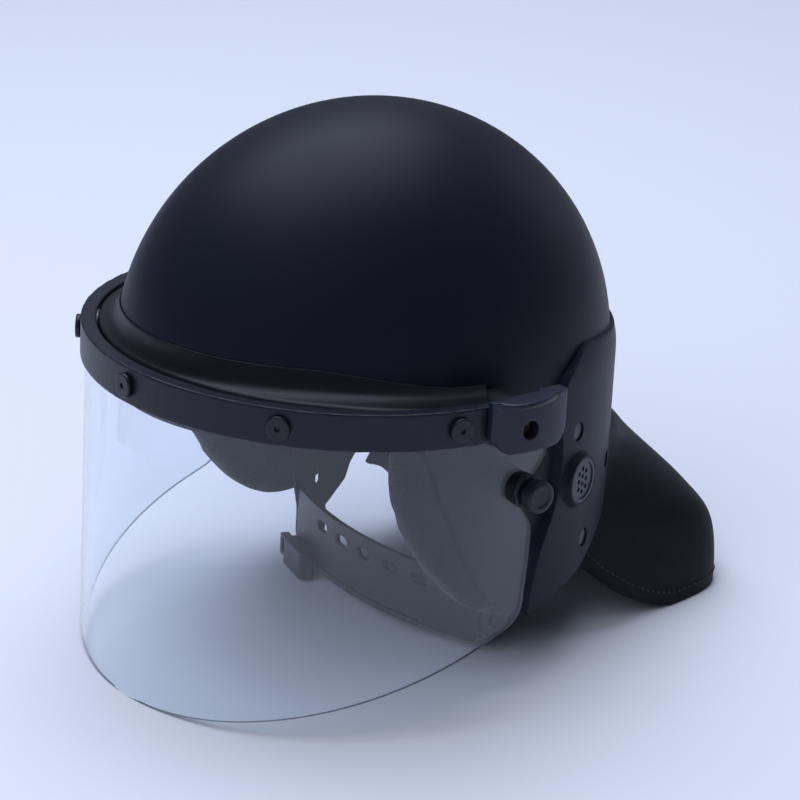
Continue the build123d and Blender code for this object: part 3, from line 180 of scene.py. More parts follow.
def leather_material():
    """Vegetable-tanned cowhide, dyed black and waxed: pebbled pores and a soft satin gloss."""
    material, tree, place = new_material("waxed_leather")
    # pores are 1.1 mm apart, a little coarser than real ones so that they show
    pores = node(
        tree,
        "ShaderNodeTexVoronoi",
        {"Vector": place, "Scale": 1000 / 1.1, "Smoothness": 0.4},
        feature="SMOOTH_F1",
    )
    creases = node(tree, "ShaderNodeTexNoise", {"Vector": place, "Scale": 1000 / 9, "Detail": 5.0})
    wear = node(tree, "ShaderNodeTexNoise", {"Vector": place, "Scale": 1000 / 45, "Detail": 3.0})
    pebbled = node(
        tree, "ShaderNodeBump", {"Height": pores, "Strength": 0.5, "Distance": 0.12 / 1000}
    )
    creased = node(
        tree,
        "ShaderNodeBump",
        {"Height": creases, "Strength": 0.22, "Distance": 0.35 / 1000, "Normal": pebbled},
    )
    colour = node(
        tree,
        "ShaderNodeMix",
        {"Factor": wear, "A": hex_colour("#06070c"), "B": hex_colour("#0b0d15")},
        data_type="RGBA",
    )
    gloss = node(tree, "ShaderNodeMapRange", {"Value": creases, "To Min": 0.5, "To Max": 0.66})
    surface = node(
        tree,
        "ShaderNodeBsdfPrincipled",
        {
            "Base Color": colour,
            "Roughness": gloss,
            "Specular IOR Level": 0.18,
            "Normal": creased,
        },
    )
    node(tree, "ShaderNodeOutputMaterial", {"Surface": surface})
    return material


def woven(name, dark, light, pitch_mm, turn_deg, depth_mm, sheen):
    """Cloth from two sets of threads at right angles; pitch_mm is from thread to thread."""
    material, tree, place = new_material(name)
    heights = []
    for turn in (turn_deg, turn_deg + 90):
        turned = node(
            tree, "ShaderNodeMapping", {"Vector": place, "Rotation": (radians(turn), 0, 0)}
        )
        waves = node(
            tree,
            "ShaderNodeTexWave",
            {"Vector": turned, "Scale": WAVE_REPEAT * 1000 / pitch_mm, "Distortion": 0.4},
            bands_direction="Z",
        )
        heights.append(waves.outputs["Fac"])
    threads = node(tree, "ShaderNodeMath", dict(enumerate(heights)), operation="MULTIPLY")
    fuzz = node(tree, "ShaderNodeTexNoise", {"Vector": place, "Scale": 1000 / 0.9, "Detail": 3.0})
    ribbed = node(
        tree, "ShaderNodeBump", {"Height": threads, "Strength": 0.8, "Distance": depth_mm / 1000}
    )
    fuzzy = node(
        tree,
        "ShaderNodeBump",
        {"Height": fuzz, "Strength": 0.25, "Distance": 0.2 / 1000, "Normal": ribbed},
    )
    # the threads' tops are painted lighter and the dips between them darker: painted shade on the
    # weave, from the same heights as the bump
    colour = node(
        tree,
        "ShaderNodeMix",
        {"Factor": threads, "A": hex_colour(dark), "B": hex_colour(light)},
        data_type="RGBA",
    )
    surface = node(
        tree,
        "ShaderNodeBsdfPrincipled",
        {
            "Base Color": colour,
            "Roughness": 0.88,
            "Specular IOR Level": 0.3,
            "Sheen Weight": sheen,
            "Sheen Roughness": 0.5,
            "Normal": fuzzy,
        },
    )
    node(tree, "ShaderNodeOutputMaterial", {"Surface": surface})
    return material


def bead_foam_material():
    """Expanded polystyrene, dyed dark: closed beads 2.5 mm across, dull."""
    material, tree, place = new_material("expanded_polystyrene")
    beads = node(
        tree, "ShaderNodeTexVoronoi", {"Vector": place, "Scale": 1000 / 2.5}, feature="F1"
    )
    # the seams between the beads are painted darker than their middles: painted shade in the
    # hollows between beads
    colour = node(
        tree,
        "ShaderNodeMix",
        {"Factor": beads, "A": hex_colour("#2a2b2f"), "B": hex_colour("#17181b")},
        data_type="RGBA",
    )
    # the distance is below zero, since a bead is highest at its middle
    beaded = node(
        tree, "ShaderNodeBump", {"Height": beads, "Strength": 0.6, "Distance": -0.4 / 1000}
    )
    surface = node(
        tree,
        "ShaderNodeBsdfPrincipled",
        {"Base Color": colour, "Roughness": 0.85, "Normal": beaded},
    )
    node(tree, "ShaderNodeOutputMaterial", {"Surface": surface})
    return material


finishes = {
    # ABS shell with sprayed satin paint: deep navy black, broad soft highlights
    "shell": moulded("satin_painted_abs", "#0c0f1b", 0.48, 0.5, 0.04, edge_mm=2.0, specular=0.2),
    # aluminium band with baked enamel: nearly the same tone, a little glossier
    "frame": moulded("enamelled_aluminium", "#10131e", 0.42, 0.4, 0.08, specular=0.35),
    # EPDM rubber, moulded glossy and wiped: darker, clearer highlights
    "seal": moulded("moulded_epdm_rubber", "#06070c", 0.38, 0.6, 0.05, edge_mm=1.0, specular=0.3),
    "clear_shield": polycarbonate_material(),
    # glass-filled nylon from a finely eroded mould: fine grain
    "cover": moulded("glass_filled_nylon", "#151927", 0.4, 0.45, 0.2, edge_mm=0.7, specular=0.4),
    # unfilled nylon from the same kind of mould: darker, since it is dyed through
    "knob": moulded("moulded_nylon", "#0d1019", 0.42, 0.45, 0.2, specular=0.4),
    # acetal and nylon turned from rod: plain dark plastic with a low gloss
    "trim_plastic": moulded("acetal_copolymer", "#101115", 0.45, 0.45, 0.15, edge_mm=0.4),
    "washer": moulded("nylon_washer_stock", "#26272b", 0.5, 0.4, edge_mm=0.2),
    # steel with black oxide, lightly oiled: dark with a metal's glint
    "fasteners": moulded(
        "black_oxide_steel", "#17191f", 0.34, 0.3, 0.15, edge_mm=0.35, specular=0.6, metal=0.4
    ),
    # steel with zinc plating: dull pale grey metal
    "nuts": moulded("zinc_plated_steel", "#9a9da3", 0.38, 0.3, 0.15, edge_mm=0.3, metal=1.0),
    # ABS insert, left unpainted: a greyer, drier black than the shell around it
    "grille": moulded("moulded_abs_insert", "#2a2e39", 0.45, 0.35, 0.15, edge_mm=0.25),
    "leather": leather_material(),
    "foam": bead_foam_material(),
    # brushed nylon over the head pads: threads 1 mm apart, coarser than real so that they show
    "pad_fabric": woven("brushed_nylon_knit", "#07090f", "#10131c", 1.0053, 0, 0.12, sheen=0.25),
    # spacer mesh over the ear pads: openings 1.4 mm apart on the slant
    "ear_fabric": woven("polyester_spacer_mesh", "#06080f", "#0f131e", 1.3823, 38, 0.2, sheen=0.15),
    # polyethylene and acetal straps and buckle: waxy dark plastic
    "strap": moulded("moulded_polyethylene", "#070a12", 0.42, 0.45, 0.12),
    "buckle": moulded("moulded_acetal", "#0e121b", 0.4, 0.4, 0.12),
}
# yellow-passivated steel, as the small hinge screws show down in their recesses
passivated = moulded(
    "yellow_passivated_steel", "#6a5f43", 0.32, 0.3, 0.15, edge_mm=0.25, metal=1.0
)

for entry in record["subparts"]:
    piece = nodes[entry["node"]]
    piece.data.materials.clear()
    screw = entry["node"].startswith("hinge_screw")
    piece.data.materials.append(passivated if screw else finishes[entry["material_slot"]])


# ---- mesh helpers


def linked(name, data):
    """A new object of the scene around a mesh or a curve."""
    piece = bpy.data.objects.new(name, data)
    bpy.context.scene.collection.objects.link(piece)
    return piece


def new_piece(name, points, faces, slot, replaced, smooth_deg):
    """A mesh piece in metres, with its finish, that stands for a CAD node on that node's body."""
    mesh = bpy.data.meshes.new(name)
    mesh.from_pydata(points, [], faces)
    mesh.validate()
    mesh.shade_smooth()
    mesh.set_sharp_from_angle(angle=radians(smooth_deg))
    return dressed(linked(name, mesh), slot, body_of(replaced), [replaced])


def body_of(name):
    """The body that a CAD node rides on, from the record."""
    bodies = record["behaviour"]["bodies"]
    return next(body for body, members in bodies.items() if name in members)


def dressed(piece, slot, body, replaced=()):
    """Gives a piece its finish, its body and the CAD nodes that it stands for."""
    piece.data.materials.clear()
    piece.data.materials.append(finishes[slot])
    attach(piece, body)
    if replaced:
        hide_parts(*replaced)
    return piece


def evaluated_mesh(piece):
    """The mesh that a piece's modifiers or curve settings give."""
    depsgraph = bpy.context.evaluated_depsgraph_get()
    return bpy.data.meshes.new_from_object(piece.evaluated_get(depsgraph))


def settled(piece):
    """Turns a piece's evaluated shape into its mesh and drops its modifiers."""
    mesh = evaluated_mesh(piece)
    piece.modifiers.clear()
    piece.data = mesh


def baked_line(piece, name, slot, body):
    """Replaces a curve object by a piece with its evaluated mesh."""
    mesh = evaluated_mesh(piece)
    bpy.data.objects.remove(piece)
    mesh.name = name
    return dressed(linked(name, mesh), slot, body)


def merged_copy(name, source):
    """A copy of a CAD node's mesh whose loose triangles a modifier joins."""
    mesh = source.data.copy()
    mesh.name = name
    piece = linked(name, mesh)
    piece.modifiers.new("weld", "WELD").merge_threshold = 0.02 / 1000
    return piece


def in_cells(piece, cell_mm):
    """Adds a modifier that fills a closed shape with cells and skins them."""
    cells = piece.modifiers.new("cells", "REMESH")
    cells.mode = "VOXEL"
    cells.voxel_size = cell_mm / 1000


def smoothed(piece, rounds):
    """Adds a modifier that wears a mesh smooth in a number of rounds."""
    smoothing = piece.modifiers.new("smoothing", "SMOOTH")
    smoothing.factor = 0.5
    smoothing.iterations = rounds


def poly_line(name, path):
    """A straight-sided curve through points in metres."""
    curve = bpy.data.curves.new(name, "CURVE")
    curve.dimensions = "3D"
    line = curve.splines.new("POLY")
    line.points.add(len(path) - 1)
    for point, place in zip(line.points, path):
        point.co = (*place, 1)
    return curve


def mix(first, last, share):
    """The value at a share of the way from the first to the last."""
    return first + (last - first) * share


def smooth_line(points, step=1.5):
    """A Catmull-Rom curve through 2-D points, sampled about every step."""
    line = []
    for number in range(len(points) - 1):
        before = points[max(number - 1, 0)]
        start, end = points[number], points[number + 1]
        after = points[min(number + 2, len(points) - 1)]
        count = max(2, int(hypot(end[0] - start[0], end[1] - start[1]) / step))
        for sample in range(count):
            t = sample / count
            place = []
            for a, b, c, d in zip(before, start, end, after):
                curve = (2 * a - 5 * b + 4 * c - d) * t * t + (3 * b - a - 3 * c + d) * t**3
                place.append(0.5 * (2 * b + (c - a) * t + curve))
            line.append(tuple(place))
    line.append(tuple(points[-1]))
    return line


# ---- face shield: one smooth sheet, drawn flat along its curve and then bent

# From here to the pads, sizes are in mm of the building frame. The sheet's outside is half an
# ellipse in front of SHEET_LEAD and straight behind it.
SHEET_WIDTH = 138.4
SHEET_LENGTH = 129.9
SHEET_LEAD = -11.0
SHEET_WALL = 3.0
SHEET_TOP = 9.9
SHEET_DEPTH = 170.0
SHEET_RAKE = tan(radians(21.5))
SHEET_HEEL = 11.4
SHEET_CORNER = 14.0
BEND_STEPS = 1800
# the rear edge from its top: down behind the hinge, round the lock's notch and on to the heel;
# places along Y and heights
ARM_REAR = 21.3
ARM_STEP = 5.0
ARM_STEPS = 5
ABOVE_NOTCH = ((21.3, -18.0), (20.6, -21.4), (17.7, -25.4), (14.6, -29.2), (13.1, -31.2))
BELOW_NOTCH = (
    (7.6, -47.6),
    (9.6, -51.4),
    (12.9, -56.0),
    (14.2, -61.5),
    (13.9, -77.5),
    (12.3, -93.0),
)
NOTCH = (11.5, -39.8)
NOTCH_RADIUS = 8.7
NOTCH_TURNS = (79, 243)
NOTCH_STEPS = 24
HEEL_START = 12.0
HEEL_STEPS = 12
SPIGOT_HOLE = 3.58
SCREW_TURNS = (-79.1, -39.7, 0.0, 39.7, 79.1)
SCREW_UP = 3.2
SCREW_HOLE = 3.15
# how the flat sheet is meshed: points along its edges and holes, and a grid of inner points
LOW_EDGE_STEPS = 150
TOP_EDGE_STEPS = 120
HOLE_STEPS = 24
GRID_ACROSS = 4.0
GRID_ROWS = 14
GRID_MARGIN = 3.0
HOLE_MARGIN = 2.0


def bend_table():
    """Places along the front ellipse by the length from its middle."""
    table = [(0.0, 0.0)]
    for number in range(BEND_STEPS):
        turn = pi / 2 * (number + 0.5) / BEND_STEPS
        pace = hypot(SHEET_WIDTH * cos(turn), SHEET_LENGTH * sin(turn)) * pi / 2 / BEND_STEPS
        table.append((table[-1][0] + pace, pi / 2 * (number + 1) / BEND_STEPS))
    return table


BEND = bend_table()
ARM_START = BEND[-1][0]


def bent(length, up, inset=0.0):
    """A point of the sheet by its length from the middle and its height, and inset of its face."""
    side = 1 if length >= 0 else -1
    along = abs(length)
    if along >= ARM_START:
        return side * (SHEET_WIDTH - inset), SHEET_LEAD + along - ARM_START, up
    low, high = 0, len(BEND) - 1
    while high - low > 1:
        middle = (low + high) // 2
        if BEND[middle][0] <= along:
            low = middle
        else:
            high = middle
    share = (along - BEND[low][0]) / (BEND[high][0] - BEND[low][0])
    turn = mix(BEND[low][1], BEND[high][1], share)
    lean = Vector((sin(turn) / SHEET_WIDTH, -cos(turn) / SHEET_LENGTH)).normalized()
    across = SHEET_WIDTH * sin(turn) - inset * lean.x
    return side * across, SHEET_LEAD - SHEET_LENGTH * cos(turn) - inset * lean.y, up


def sheet_low(along):
    """Height of the shield's lower edge at a place along Y."""
    return -SHEET_DEPTH + SHEET_RAKE * (along - SHEET_LEAD + SHEET_LENGTH)


def rear_edge():
    """The shield's rear edge from its top down to its lower edge, as places along Y and heights."""
    line = [(ARM_REAR, SHEET_TOP - ARM_STEP * step) for step in range(ARM_STEPS + 1)]
    line += smooth_line(ABOVE_NOTCH)
    for step in range(1, NOTCH_STEPS):
        turn = radians(mix(*NOTCH_TURNS, step / NOTCH_STEPS))
        line.append((NOTCH[0] + NOTCH_RADIUS * cos(turn), NOTCH[1] + NOTCH_RADIUS * sin(turn)))
    line += smooth_line(BELOW_NOTCH, 3.0)
    # the heel's corner is a soft curve from the rear edge to the lower edge
    heel = (SHEET_HEEL, sheet_low(SHEET_HEEL))
    start = (HEEL_START, heel[1] + SHEET_CORNER * 0.78)
    end_along = SHEET_HEEL - SHEET_CORNER * 0.7
    end = (end_along, sheet_low(end_along))
    for step in range(HEEL_STEPS + 1):
        t = step / HEEL_STEPS
        weights = ((1 - t) ** 2, 2 * t * (1 - t), t * t)
        corners = zip(start, heel, end)
        line.append(tuple(sum(w * a for w, a in zip(weights, axis)) for axis in corners))
    return line


def sheet_holes():
    """The spigots' and the screws' holes as length, height and radius."""
    holes = [(side * (ARM_START - SHEET_LEAD), 0.0, SPIGOT_HOLE) for side in (1, -1)]
    for turn in SCREW_TURNS:
        near = min(BEND, key=lambda row: abs(row[1] - radians(abs(turn))))
        holes.append(((near[0] if turn > 0 else -near[0]), SCREW_UP, SCREW_HOLE))
    return holes


def sheet_outline(edge):
    """The flat sheet's outline, from its left rear edge round to its top."""
    outline = list(edge)
    for step in range(1, LOW_EDGE_STEPS):
        length = mix(edge[-1][0], -edge[-1][0], step / LOW_EDGE_STEPS)
        outline.append((length, sheet_low(bent(length, 0)[1])))
    outline += [(-length, up) for length, up in reversed(edge)]
    for step in range(1, TOP_EDGE_STEPS):
        outline.append((mix(-edge[0][0], edge[0][0], step / TOP_EDGE_STEPS), SHEET_TOP))
    return outline


def face_shield():
    """The sheet's outline and holes, meshed flat, then bent twice for its two faces."""
    edge = [(ARM_START + along - SHEET_LEAD, up) for along, up in rear_edge()]
    holes = sheet_holes()
    loops = [sheet_outline(edge)]
    for length, up, radius in holes:
        turns = [2 * pi * step / HOLE_STEPS for step in range(HOLE_STEPS)]
        loops.append([(length + radius * cos(turn), up + radius * sin(turn)) for turn in turns])
    flat, edges = [], []
    for loop in loops:
        start = len(flat)
        flat += [Vector(point) for point in loop]
        edges += [(start + i, start + (i + 1) % len(loop)) for i in range(len(loop))]

    limit = edge[0][0]
    behind = ARM_START - SHEET_LEAD + NOTCH[0] - NOTCH_RADIUS - GRID_MARGIN
    for column in range(int(2 * limit / GRID_ACROSS) + 1):
        length = -limit + column * GRID_ACROSS
        low = sheet_low(bent(length, 0)[1])
        for row in range(GRID_ROWS + 1):
            up = mix(low + GRID_MARGIN, SHEET_TOP - GRID_MARGIN, row / GRID_ROWS)
            clear = all(hypot(length - h[0], up - h[1]) > h[2] + HOLE_MARGIN for h in holes)
            if clear and abs(length) <= behind:
                flat.append(Vector((length, up)))

    points, _, faces = geometry.delaunay_2d_cdt(flat, edges, [], 1, 1e-4)[:3]
    kept = []
    for face in faces:
        middle = sum((points[i] for i in face), Vector((0, 0))) / len(face)
        if all(hypot(middle.x - h[0], middle.y - h[1]) > h[2] for h in holes):
            kept.append(list(face))
    count = len(points)
    shown = [rest(*bent(p.x, p.y)) for p in points]
    shown += [rest(*bent(p.x, p.y, SHEET_WALL)) for p in points]
    runs = [run for face in kept for run in zip(face, face[1:] + face[:1])]
    known = set(runs)
    solid = kept + [[i + count for i in reversed(face)] for face in kept]
    # an edge that is run along once only is a rim, and a four-sided face closes it
    solid += [[b, a, a + count, b + count] for a, b in runs if (b, a) not in known]
    # the sheet is drawn with its length growing to the left side, so that its front faces out
    piece = new_piece("face_shield", shown, solid, "clear_shield", "visor", smooth_deg=35)
    piece.data.materials.append(cut_edge_material())
    for polygon in piece.data.polygons:
        polygon.material_index = 1 if len(polygon.vertices) == 4 else 0


face_shield()


# ---- brow seal: one hollowed section swept between the dome and the frame

# the dome is an ellipsoid, centred DOME_SETBACK behind the hinge axis
DOME_SETBACK = 9.0
DOME_SIZE = (118.0, 140.0, 132.5)
SEAL_SIZE = (132.2, 123.7)
SEAL_LEAD = -11.0
SEAL_FOOT = -2.0
SEAL_LOW = 8.0
SEAL_TOP = 27.0
SEAL_END_TOP = 15.0
# turns from the front at which the seal's inner and outer edges end
SEAL_ENDS = (84.5, 90.5)
SEAL_LIP = 0.5
# the share of each half, from its middle, over which the seal keeps its full height
SEAL_LEVEL = 0.5
SEAL_COLUMNS = 200
SEAL_BACK_STEPS = 12
# the upper face from the dome to the frame: shares of its width and of its rise, and what both
# measure in mm, for the spacing of its points
SECTION_WIDE = 17
SECTION_RISE = 19
SEAL_SECTION = (
    (0.02, 1.0),
    (0.05, 0.97),
    (0.11, 0.84),
    (0.2, 0.68),
    (0.33, 0.52),
    (0.5, 0.41),
    (0.68, 0.34),
    (0.82, 0.3),
    (0.92, 0.24),
    (0.98, 0.13),
    (1.0, 0.0),
)
SECTION_LINE = smooth_line([(a * SECTION_WIDE, r * SECTION_RISE) for a, r in SEAL_SECTION], 0.8)


def dome_point(turn_deg, up, out=0.0):
    """A point on the dome at a height, by its turn from the front."""
    share = sqrt(1 - (up / DOME_SIZE[2]) ** 2)
    turn = radians(turn_deg)
    wide, long = DOME_SIZE[0] * share + out, DOME_SIZE[1] * share + out
    return wide * sin(turn), DOME_SETBACK - long * cos(turn)


def seal_section(share):
    """The seal's closed section at a share of the way round, as points of the building frame."""
    inner_turn, outer_turn = [mix(-end, end, share) for end in SEAL_ENDS]
    side = abs(2 * share - 1)
    ease = max(0.0, (side - SEAL_LEVEL) / (1 - SEAL_LEVEL))
    top = mix(SEAL_TOP, SEAL_END_TOP, ease * ease * (3 - 2 * ease))
    turn = radians(outer_turn)
    outer = (SEAL_SIZE[0] * sin(turn), SEAL_LEAD - SEAL_SIZE[1] * cos(turn))
    inner = dome_point(inner_turn, top, SEAL_LIP)
    points = []
    for wide, rise in SECTION_LINE:
        across = wide / SECTION_WIDE
        place = [mix(inner[i], outer[i], across) for i in (0, 1)]
        points.append((*place, mix(SEAL_LOW, top, rise / SECTION_RISE)))
    points.append((*outer, SEAL_FOOT))
    for step in range(SEAL_BACK_STEPS + 1):
        up = mix(SEAL_FOOT, top, step / SEAL_BACK_STEPS)
        points.append((*dome_point(inner_turn, up, SEAL_LIP / 2), up))
    return points


def outward_faces(mesh):
    """Turns the faces of a closed mesh outwards."""
    work = bmesh.new()
    work.from_mesh(mesh)
    bmesh.ops.recalc_face_normals(work, faces=work.faces)
    work.to_mesh(mesh)
    work.free()


def brow_seal():
    """The section swept round the brow and closed at its ends."""
    points, faces = [], []
    for column in range(SEAL_COLUMNS + 1):
        points += [rest(*place) for place in seal_section(column / SEAL_COLUMNS)]
    count = len(points) // (SEAL_COLUMNS + 1)
    for column in range(SEAL_COLUMNS):
        for row in range(count):
            first, second = column * count + row, column * count + (row + 1) % count
            faces.append((first, second, second + count, first + count))
    faces.append(tuple(range(count)))
    faces.append(tuple(reversed(range(SEAL_COLUMNS * count, (SEAL_COLUMNS + 1) * count))))
    piece = new_piece("seal_moulding", points, faces, "seal", "brow_seal", smooth_deg=60)
    outward_faces(piece.data)


brow_seal()


# ---- neck guard: a leather wall along rings, with a rolled edge and a row of stitches

GUARD_WALL = 3.6
GUARD_TOP = 28.0
ROLL_RADIUS = 1.8
# rings of the guard's outside: depth, half width, half length and squareness
GUARD_RINGS = (
    (40.0, 118.9, 138.4, 2.0),
    (50.0, 96.5, 147.6, 2.9),
    (62.0, 85.6, 159.8, 3.3),
    (78.0, 85.2, 176.8, 3.8),
    (95.0, 88.2, 190.2, 5.6),
    (112.0, 91.6, 198.2, 8.4),
    (135.0, 95.8, 198.4, 9.4),
    (165.0, 96.8, 196.8, 9.4),
)
# the guard's front edge from the side, and its foot as far as the ground
GUARD_EDGE = ((100.9, -25.3), (96.8, -59.5), (92.7, -98.2), (84.9, -113.0))
GUARD_SOLE = (
    (84.9, -113.0),
    (91.0, -115.0),
    (98.0, -118.4),
    (107.6, -126.6),
    (123.1, -137.4),
    (134.7, -143.6),
    (146.2, -148.2),
    (158.0, -151.4),
)
RING_STEPS = 160
RING_FINE_STEPS = 500
RING_START = 0.02
# the table of rings holds one for each mm of depth between these
TABLE_TOP = 20
TABLE_END = 165
WALL_COLUMNS = 88
WALL_ROWS = 60
RIM_EDGE_STEPS = 34
RIM_SOLE_STEPS = 160


def ring_points(half_width, half_length, fullness):
    """The left half of a ring from its side to the middle of the back, evenly spaced."""
    fine, lengths = [], [0.0]
    for step in range(RING_FINE_STEPS + 1):
        turn = RING_START + (pi / 2 - RING_START) * step / RING_FINE_STEPS
        wide, long = (cos(turn) / half_width) ** fullness, (sin(turn) / half_length) ** fullness
        reach = (wide + long) ** (-1 / fullness)
        fine.append((reach * cos(turn), DOME_SETBACK + reach * sin(turn)))
    for first, last in zip(fine, fine[1:]):
        lengths.append(lengths[-1] + hypot(last[0] - first[0], last[1] - first[1]))
    points, place = [], 0
    for step in range(RING_STEPS + 1):
        wanted = lengths[-1] * step / RING_STEPS
        while place < len(fine) - 2 and lengths[place + 1] < wanted:
            place += 1
        share = (wanted - lengths[place]) / (lengths[place + 1] - lengths[place])
        pairs = zip(fine[place], fine[place + 1])
        points.append(tuple(mix(first, last, min(share, 1.0)) for first, last in pairs))
    return points


def on_line(line, value, axis):
    """The other coordinate on a polyline at a value along one axis, held beyond its ends."""
    for first, last in zip(line, line[1:]):
        if min(first[axis], last[axis]) <= value <= max(first[axis], last[axis]):
            share = (value - first[axis]) / (last[axis] - first[axis])
            return mix(first[1 - axis], last[1 - axis], share)
    return min((line[0], line[-1]), key=lambda point: abs(point[axis] - value))[1 - axis]


# each size of the rings as a smooth curve over the depth
RING_CURVES = [smooth_line([(ring[0], ring[i]) for ring in GUARD_RINGS], 2.0) for i in (1, 2, 3)]
RING_TABLE = [
    ring_points(*[on_line(curve, max(depth, GUARD_RINGS[0][0]), 0) for curve in RING_CURVES])
    for depth in range(TABLE_TOP, TABLE_END + 1)
]
SOLE_CURVE = smooth_line(GUARD_SOLE)


def ground_up(along):
    """Height of the ground under a place along Y, in the tilted building frame."""
    return -SHEET_DEPTH + tan(REST_PITCH) * (SHEET_LENGTH - SHEET_LEAD + along)


def sole_up(along):
    """Height of the guard's lower edge, where the roll around it stands on the ground."""
    return on_line(SOLE_CURVE, along, 0) if along < GUARD_SOLE[-1][0] else ground_up(along)


def guard_place(share, up, inset=0.0):
    """The guard's outside at a height, by the share from its front edge to the back's middle."""
    depth = min(max(-up, TABLE_TOP), TABLE_END - 0.1)
    level = int(depth) - TABLE_TOP
    part = depth - int(depth)
    low, high = RING_TABLE[level], RING_TABLE[level + 1]
    front = on_line(GUARD_EDGE, up, 1) + inset
    ring = [(mix(a[0], b[0], part), mix(a[1], b[1], part)) for a, b in zip(low, high)]
    number = 0
    while number < RING_STEPS - 1 and ring[number + 1][1] < front:
        number += 1
    run = (front - ring[number][1]) / max(ring[number + 1][1] - ring[number][1], 1e-6)
    begin = number + min(max(run, 0.0), 1.0)
    wanted = mix(begin, RING_STEPS, share)
    number = min(int(wanted), RING_STEPS - 1)
    return tuple(mix(a, b, wanted - number) for a, b in zip(ring[number], ring[number + 1]))


def guard_point(share, down, lift=ROLL_RADIUS, inset=0.0):
    """A point by the share round the half ring and the share down from the top to the sole."""
    along = 120.0
    # the sole's height depends on where the point comes out, so that is found in a few rounds
    for _ in range(6):
        up = mix(-GUARD_TOP, sole_up(along) + lift, down)
        across, along = guard_place(share, up, inset)
    return across, along, up


def both_sides(half):
    """A half row of points from the left to the middle of the back, and its mirror image."""
    return half + [(-x, y, z) for x, y, z in reversed(half[:-1])]


def neck_guard():
    """The wall as one grid round both sides, thickened inwards."""
    points = []
    for row in range(WALL_ROWS + 1):
        shares = [column / WALL_COLUMNS for column in range(WALL_COLUMNS + 1)]
        line = both_sides([guard_point(share, row / WALL_ROWS) for share in shares])
        points += [rest(*place) for place in line]
    wide = 2 * WALL_COLUMNS + 1
    faces = []
    for row in range(WALL_ROWS):
        for column in range(wide - 1):
            corner = row * wide + column
            faces.append((corner, corner + 1, corner + wide + 1, corner + wide))
    piece = new_piece("neck_guard_leather", points, faces, "leather", "neck_guard", smooth_deg=80)
    # a face of the left wall, half-way down, has to look to the left
    if piece.data.polygons[wide * WALL_ROWS // 2].normal.dot(Vector((1, 0.2, 0))) < 0:
        piece.data.flip_normals()
    wall = piece.modifiers.new("wall", "SOLIDIFY")
    wall.thickness = GUARD_WALL / 1000
    wall.offset = -1
    wall.use_even_offset = True


def tube(name, path, radius_mm, slot, body):
    """A round welt along a path of points in metres, closed at both ends."""
    curve = poly_line(name, path)
    curve.bevel_depth = radius_mm / 1000
    curve.bevel_resolution = 2
    curve.use_fill_caps = True
    baked_line(linked(name + "_line", curve), name, slot, body)


def guard_normal(x, y, z):
    """Outward direction of the guard's wall near a point, from the ring at its height."""
    depth = min(max(-z, TABLE_TOP + 1), TABLE_END - 2)
    level = int(depth) - TABLE_TOP
    ring = RING_TABLE[level]
    side = 1 if x >= 0 else -1
    number = min(range(RING_STEPS), key=lambda i: hypot(ring[i][0] - abs(x), ring[i][1] - y))
    here, beside, below = ring[number], ring[number + 1], RING_TABLE[level + 1][number]
    run = Vector((beside[0] - here[0], beside[1] - here[1], 0))
    fall = Vector((below[0] - here[0], below[1] - here[1], -1))
    out = fall.cross(run).normalized()
    if out.x * abs(x) + out.y * (y - DOME_SETBACK) < 0:
        out = -out
    return Vector((side * out.x, out.y, out.z))


def rim_path(inset, lift, into, first_down):
    """A path in metres along the guard's free edge, from the left top round the sole to the right.

    It runs inset behind the front edge and lift above the sole, and into the wall from outside.
    """
    half = []
    for step in range(RIM_EDGE_STEPS):
        half.append(guard_point(0.0, mix(first_down, 1.0, step / RIM_EDGE_STEPS), lift, inset))
    for step in range(RIM_SOLE_STEPS + 1):
        half.append(guard_point(step / RIM_SOLE_STEPS, 1.0, lift, inset))
    path = []
    for place in both_sides(half):
        near = guard_normal(*place)
        path.append(rest(*[along - out * into for along, out in zip(place, near)]))
    return path


def stitch_row(name, path, slot, body, pitch_mm=4.2, length_mm=3.0, thick_mm=0.55):
    """Stitches along a path, by Geometry Nodes: short capped threads laid end to end."""
    piece = linked(name, poly_line(name, path))
    tree = bpy.data.node_groups.new("stitches_along_line", "GeometryNodeTree")
    tree.interface.new_socket("Geometry", in_out="INPUT", socket_type="NodeSocketGeometry")
    sizes = {}
    for label, value in (("Pitch", pitch_mm), ("Length", length_mm), ("Thickness", thick_mm)):
        socket = tree.interface.new_socket(label, in_out="INPUT", socket_type="NodeSocketFloat")
        sizes[socket.identifier] = value / 1000
    tree.interface.new_socket("Geometry", in_out="OUTPUT", socket_type="NodeSocketGeometry")
    given = node(tree, "NodeGroupInput").outputs
    places = node(
        tree,
        "GeometryNodeCurveToPoints",
        {"Curve": given["Geometry"], "Length": given["Pitch"]},
        mode="LENGTH",
    ).outputs
    ends = []
    for share in (-0.5, 0.5):
        reach = node(tree, "ShaderNodeMath", {0: given["Length"], 1: share}, operation="MULTIPLY")
        ends.append(node(tree, "ShaderNodeCombineXYZ", {"Z": reach}))
    thread = node(tree, "GeometryNodeCurvePrimitiveLine", {"Start": ends[0], "End": ends[1]})
    profile = node(
        tree, "GeometryNodeCurvePrimitiveCircle", {"Resolution": 6, "Radius": given["Thickness"]}
    )
    solid = node(
        tree,
        "GeometryNodeCurveToMesh",
        {"Curve": thread, "Profile Curve": profile, "Fill Caps": True},
    )
    laid = node(
        tree,
        "GeometryNodeInstanceOnPoints",
        {"Points": places["Points"], "Instance": solid, "Rotation": places["Rotation"]},
    )
    real = node(tree, "GeometryNodeRealizeInstances", {"Geometry": laid})
    finished = node(
        tree, "GeometryNodeSetMaterial", {"Geometry": real, "Material": finishes[slot]}
    )
    node(tree, "NodeGroupOutput", {"Geometry": finished})
    modifier = piece.modifiers.new("stitches", "NODES")
    modifier.node_group = tree
    for identifier, value in sizes.items():
        modifier[identifier] = value
    baked_line(piece, name, slot, body)


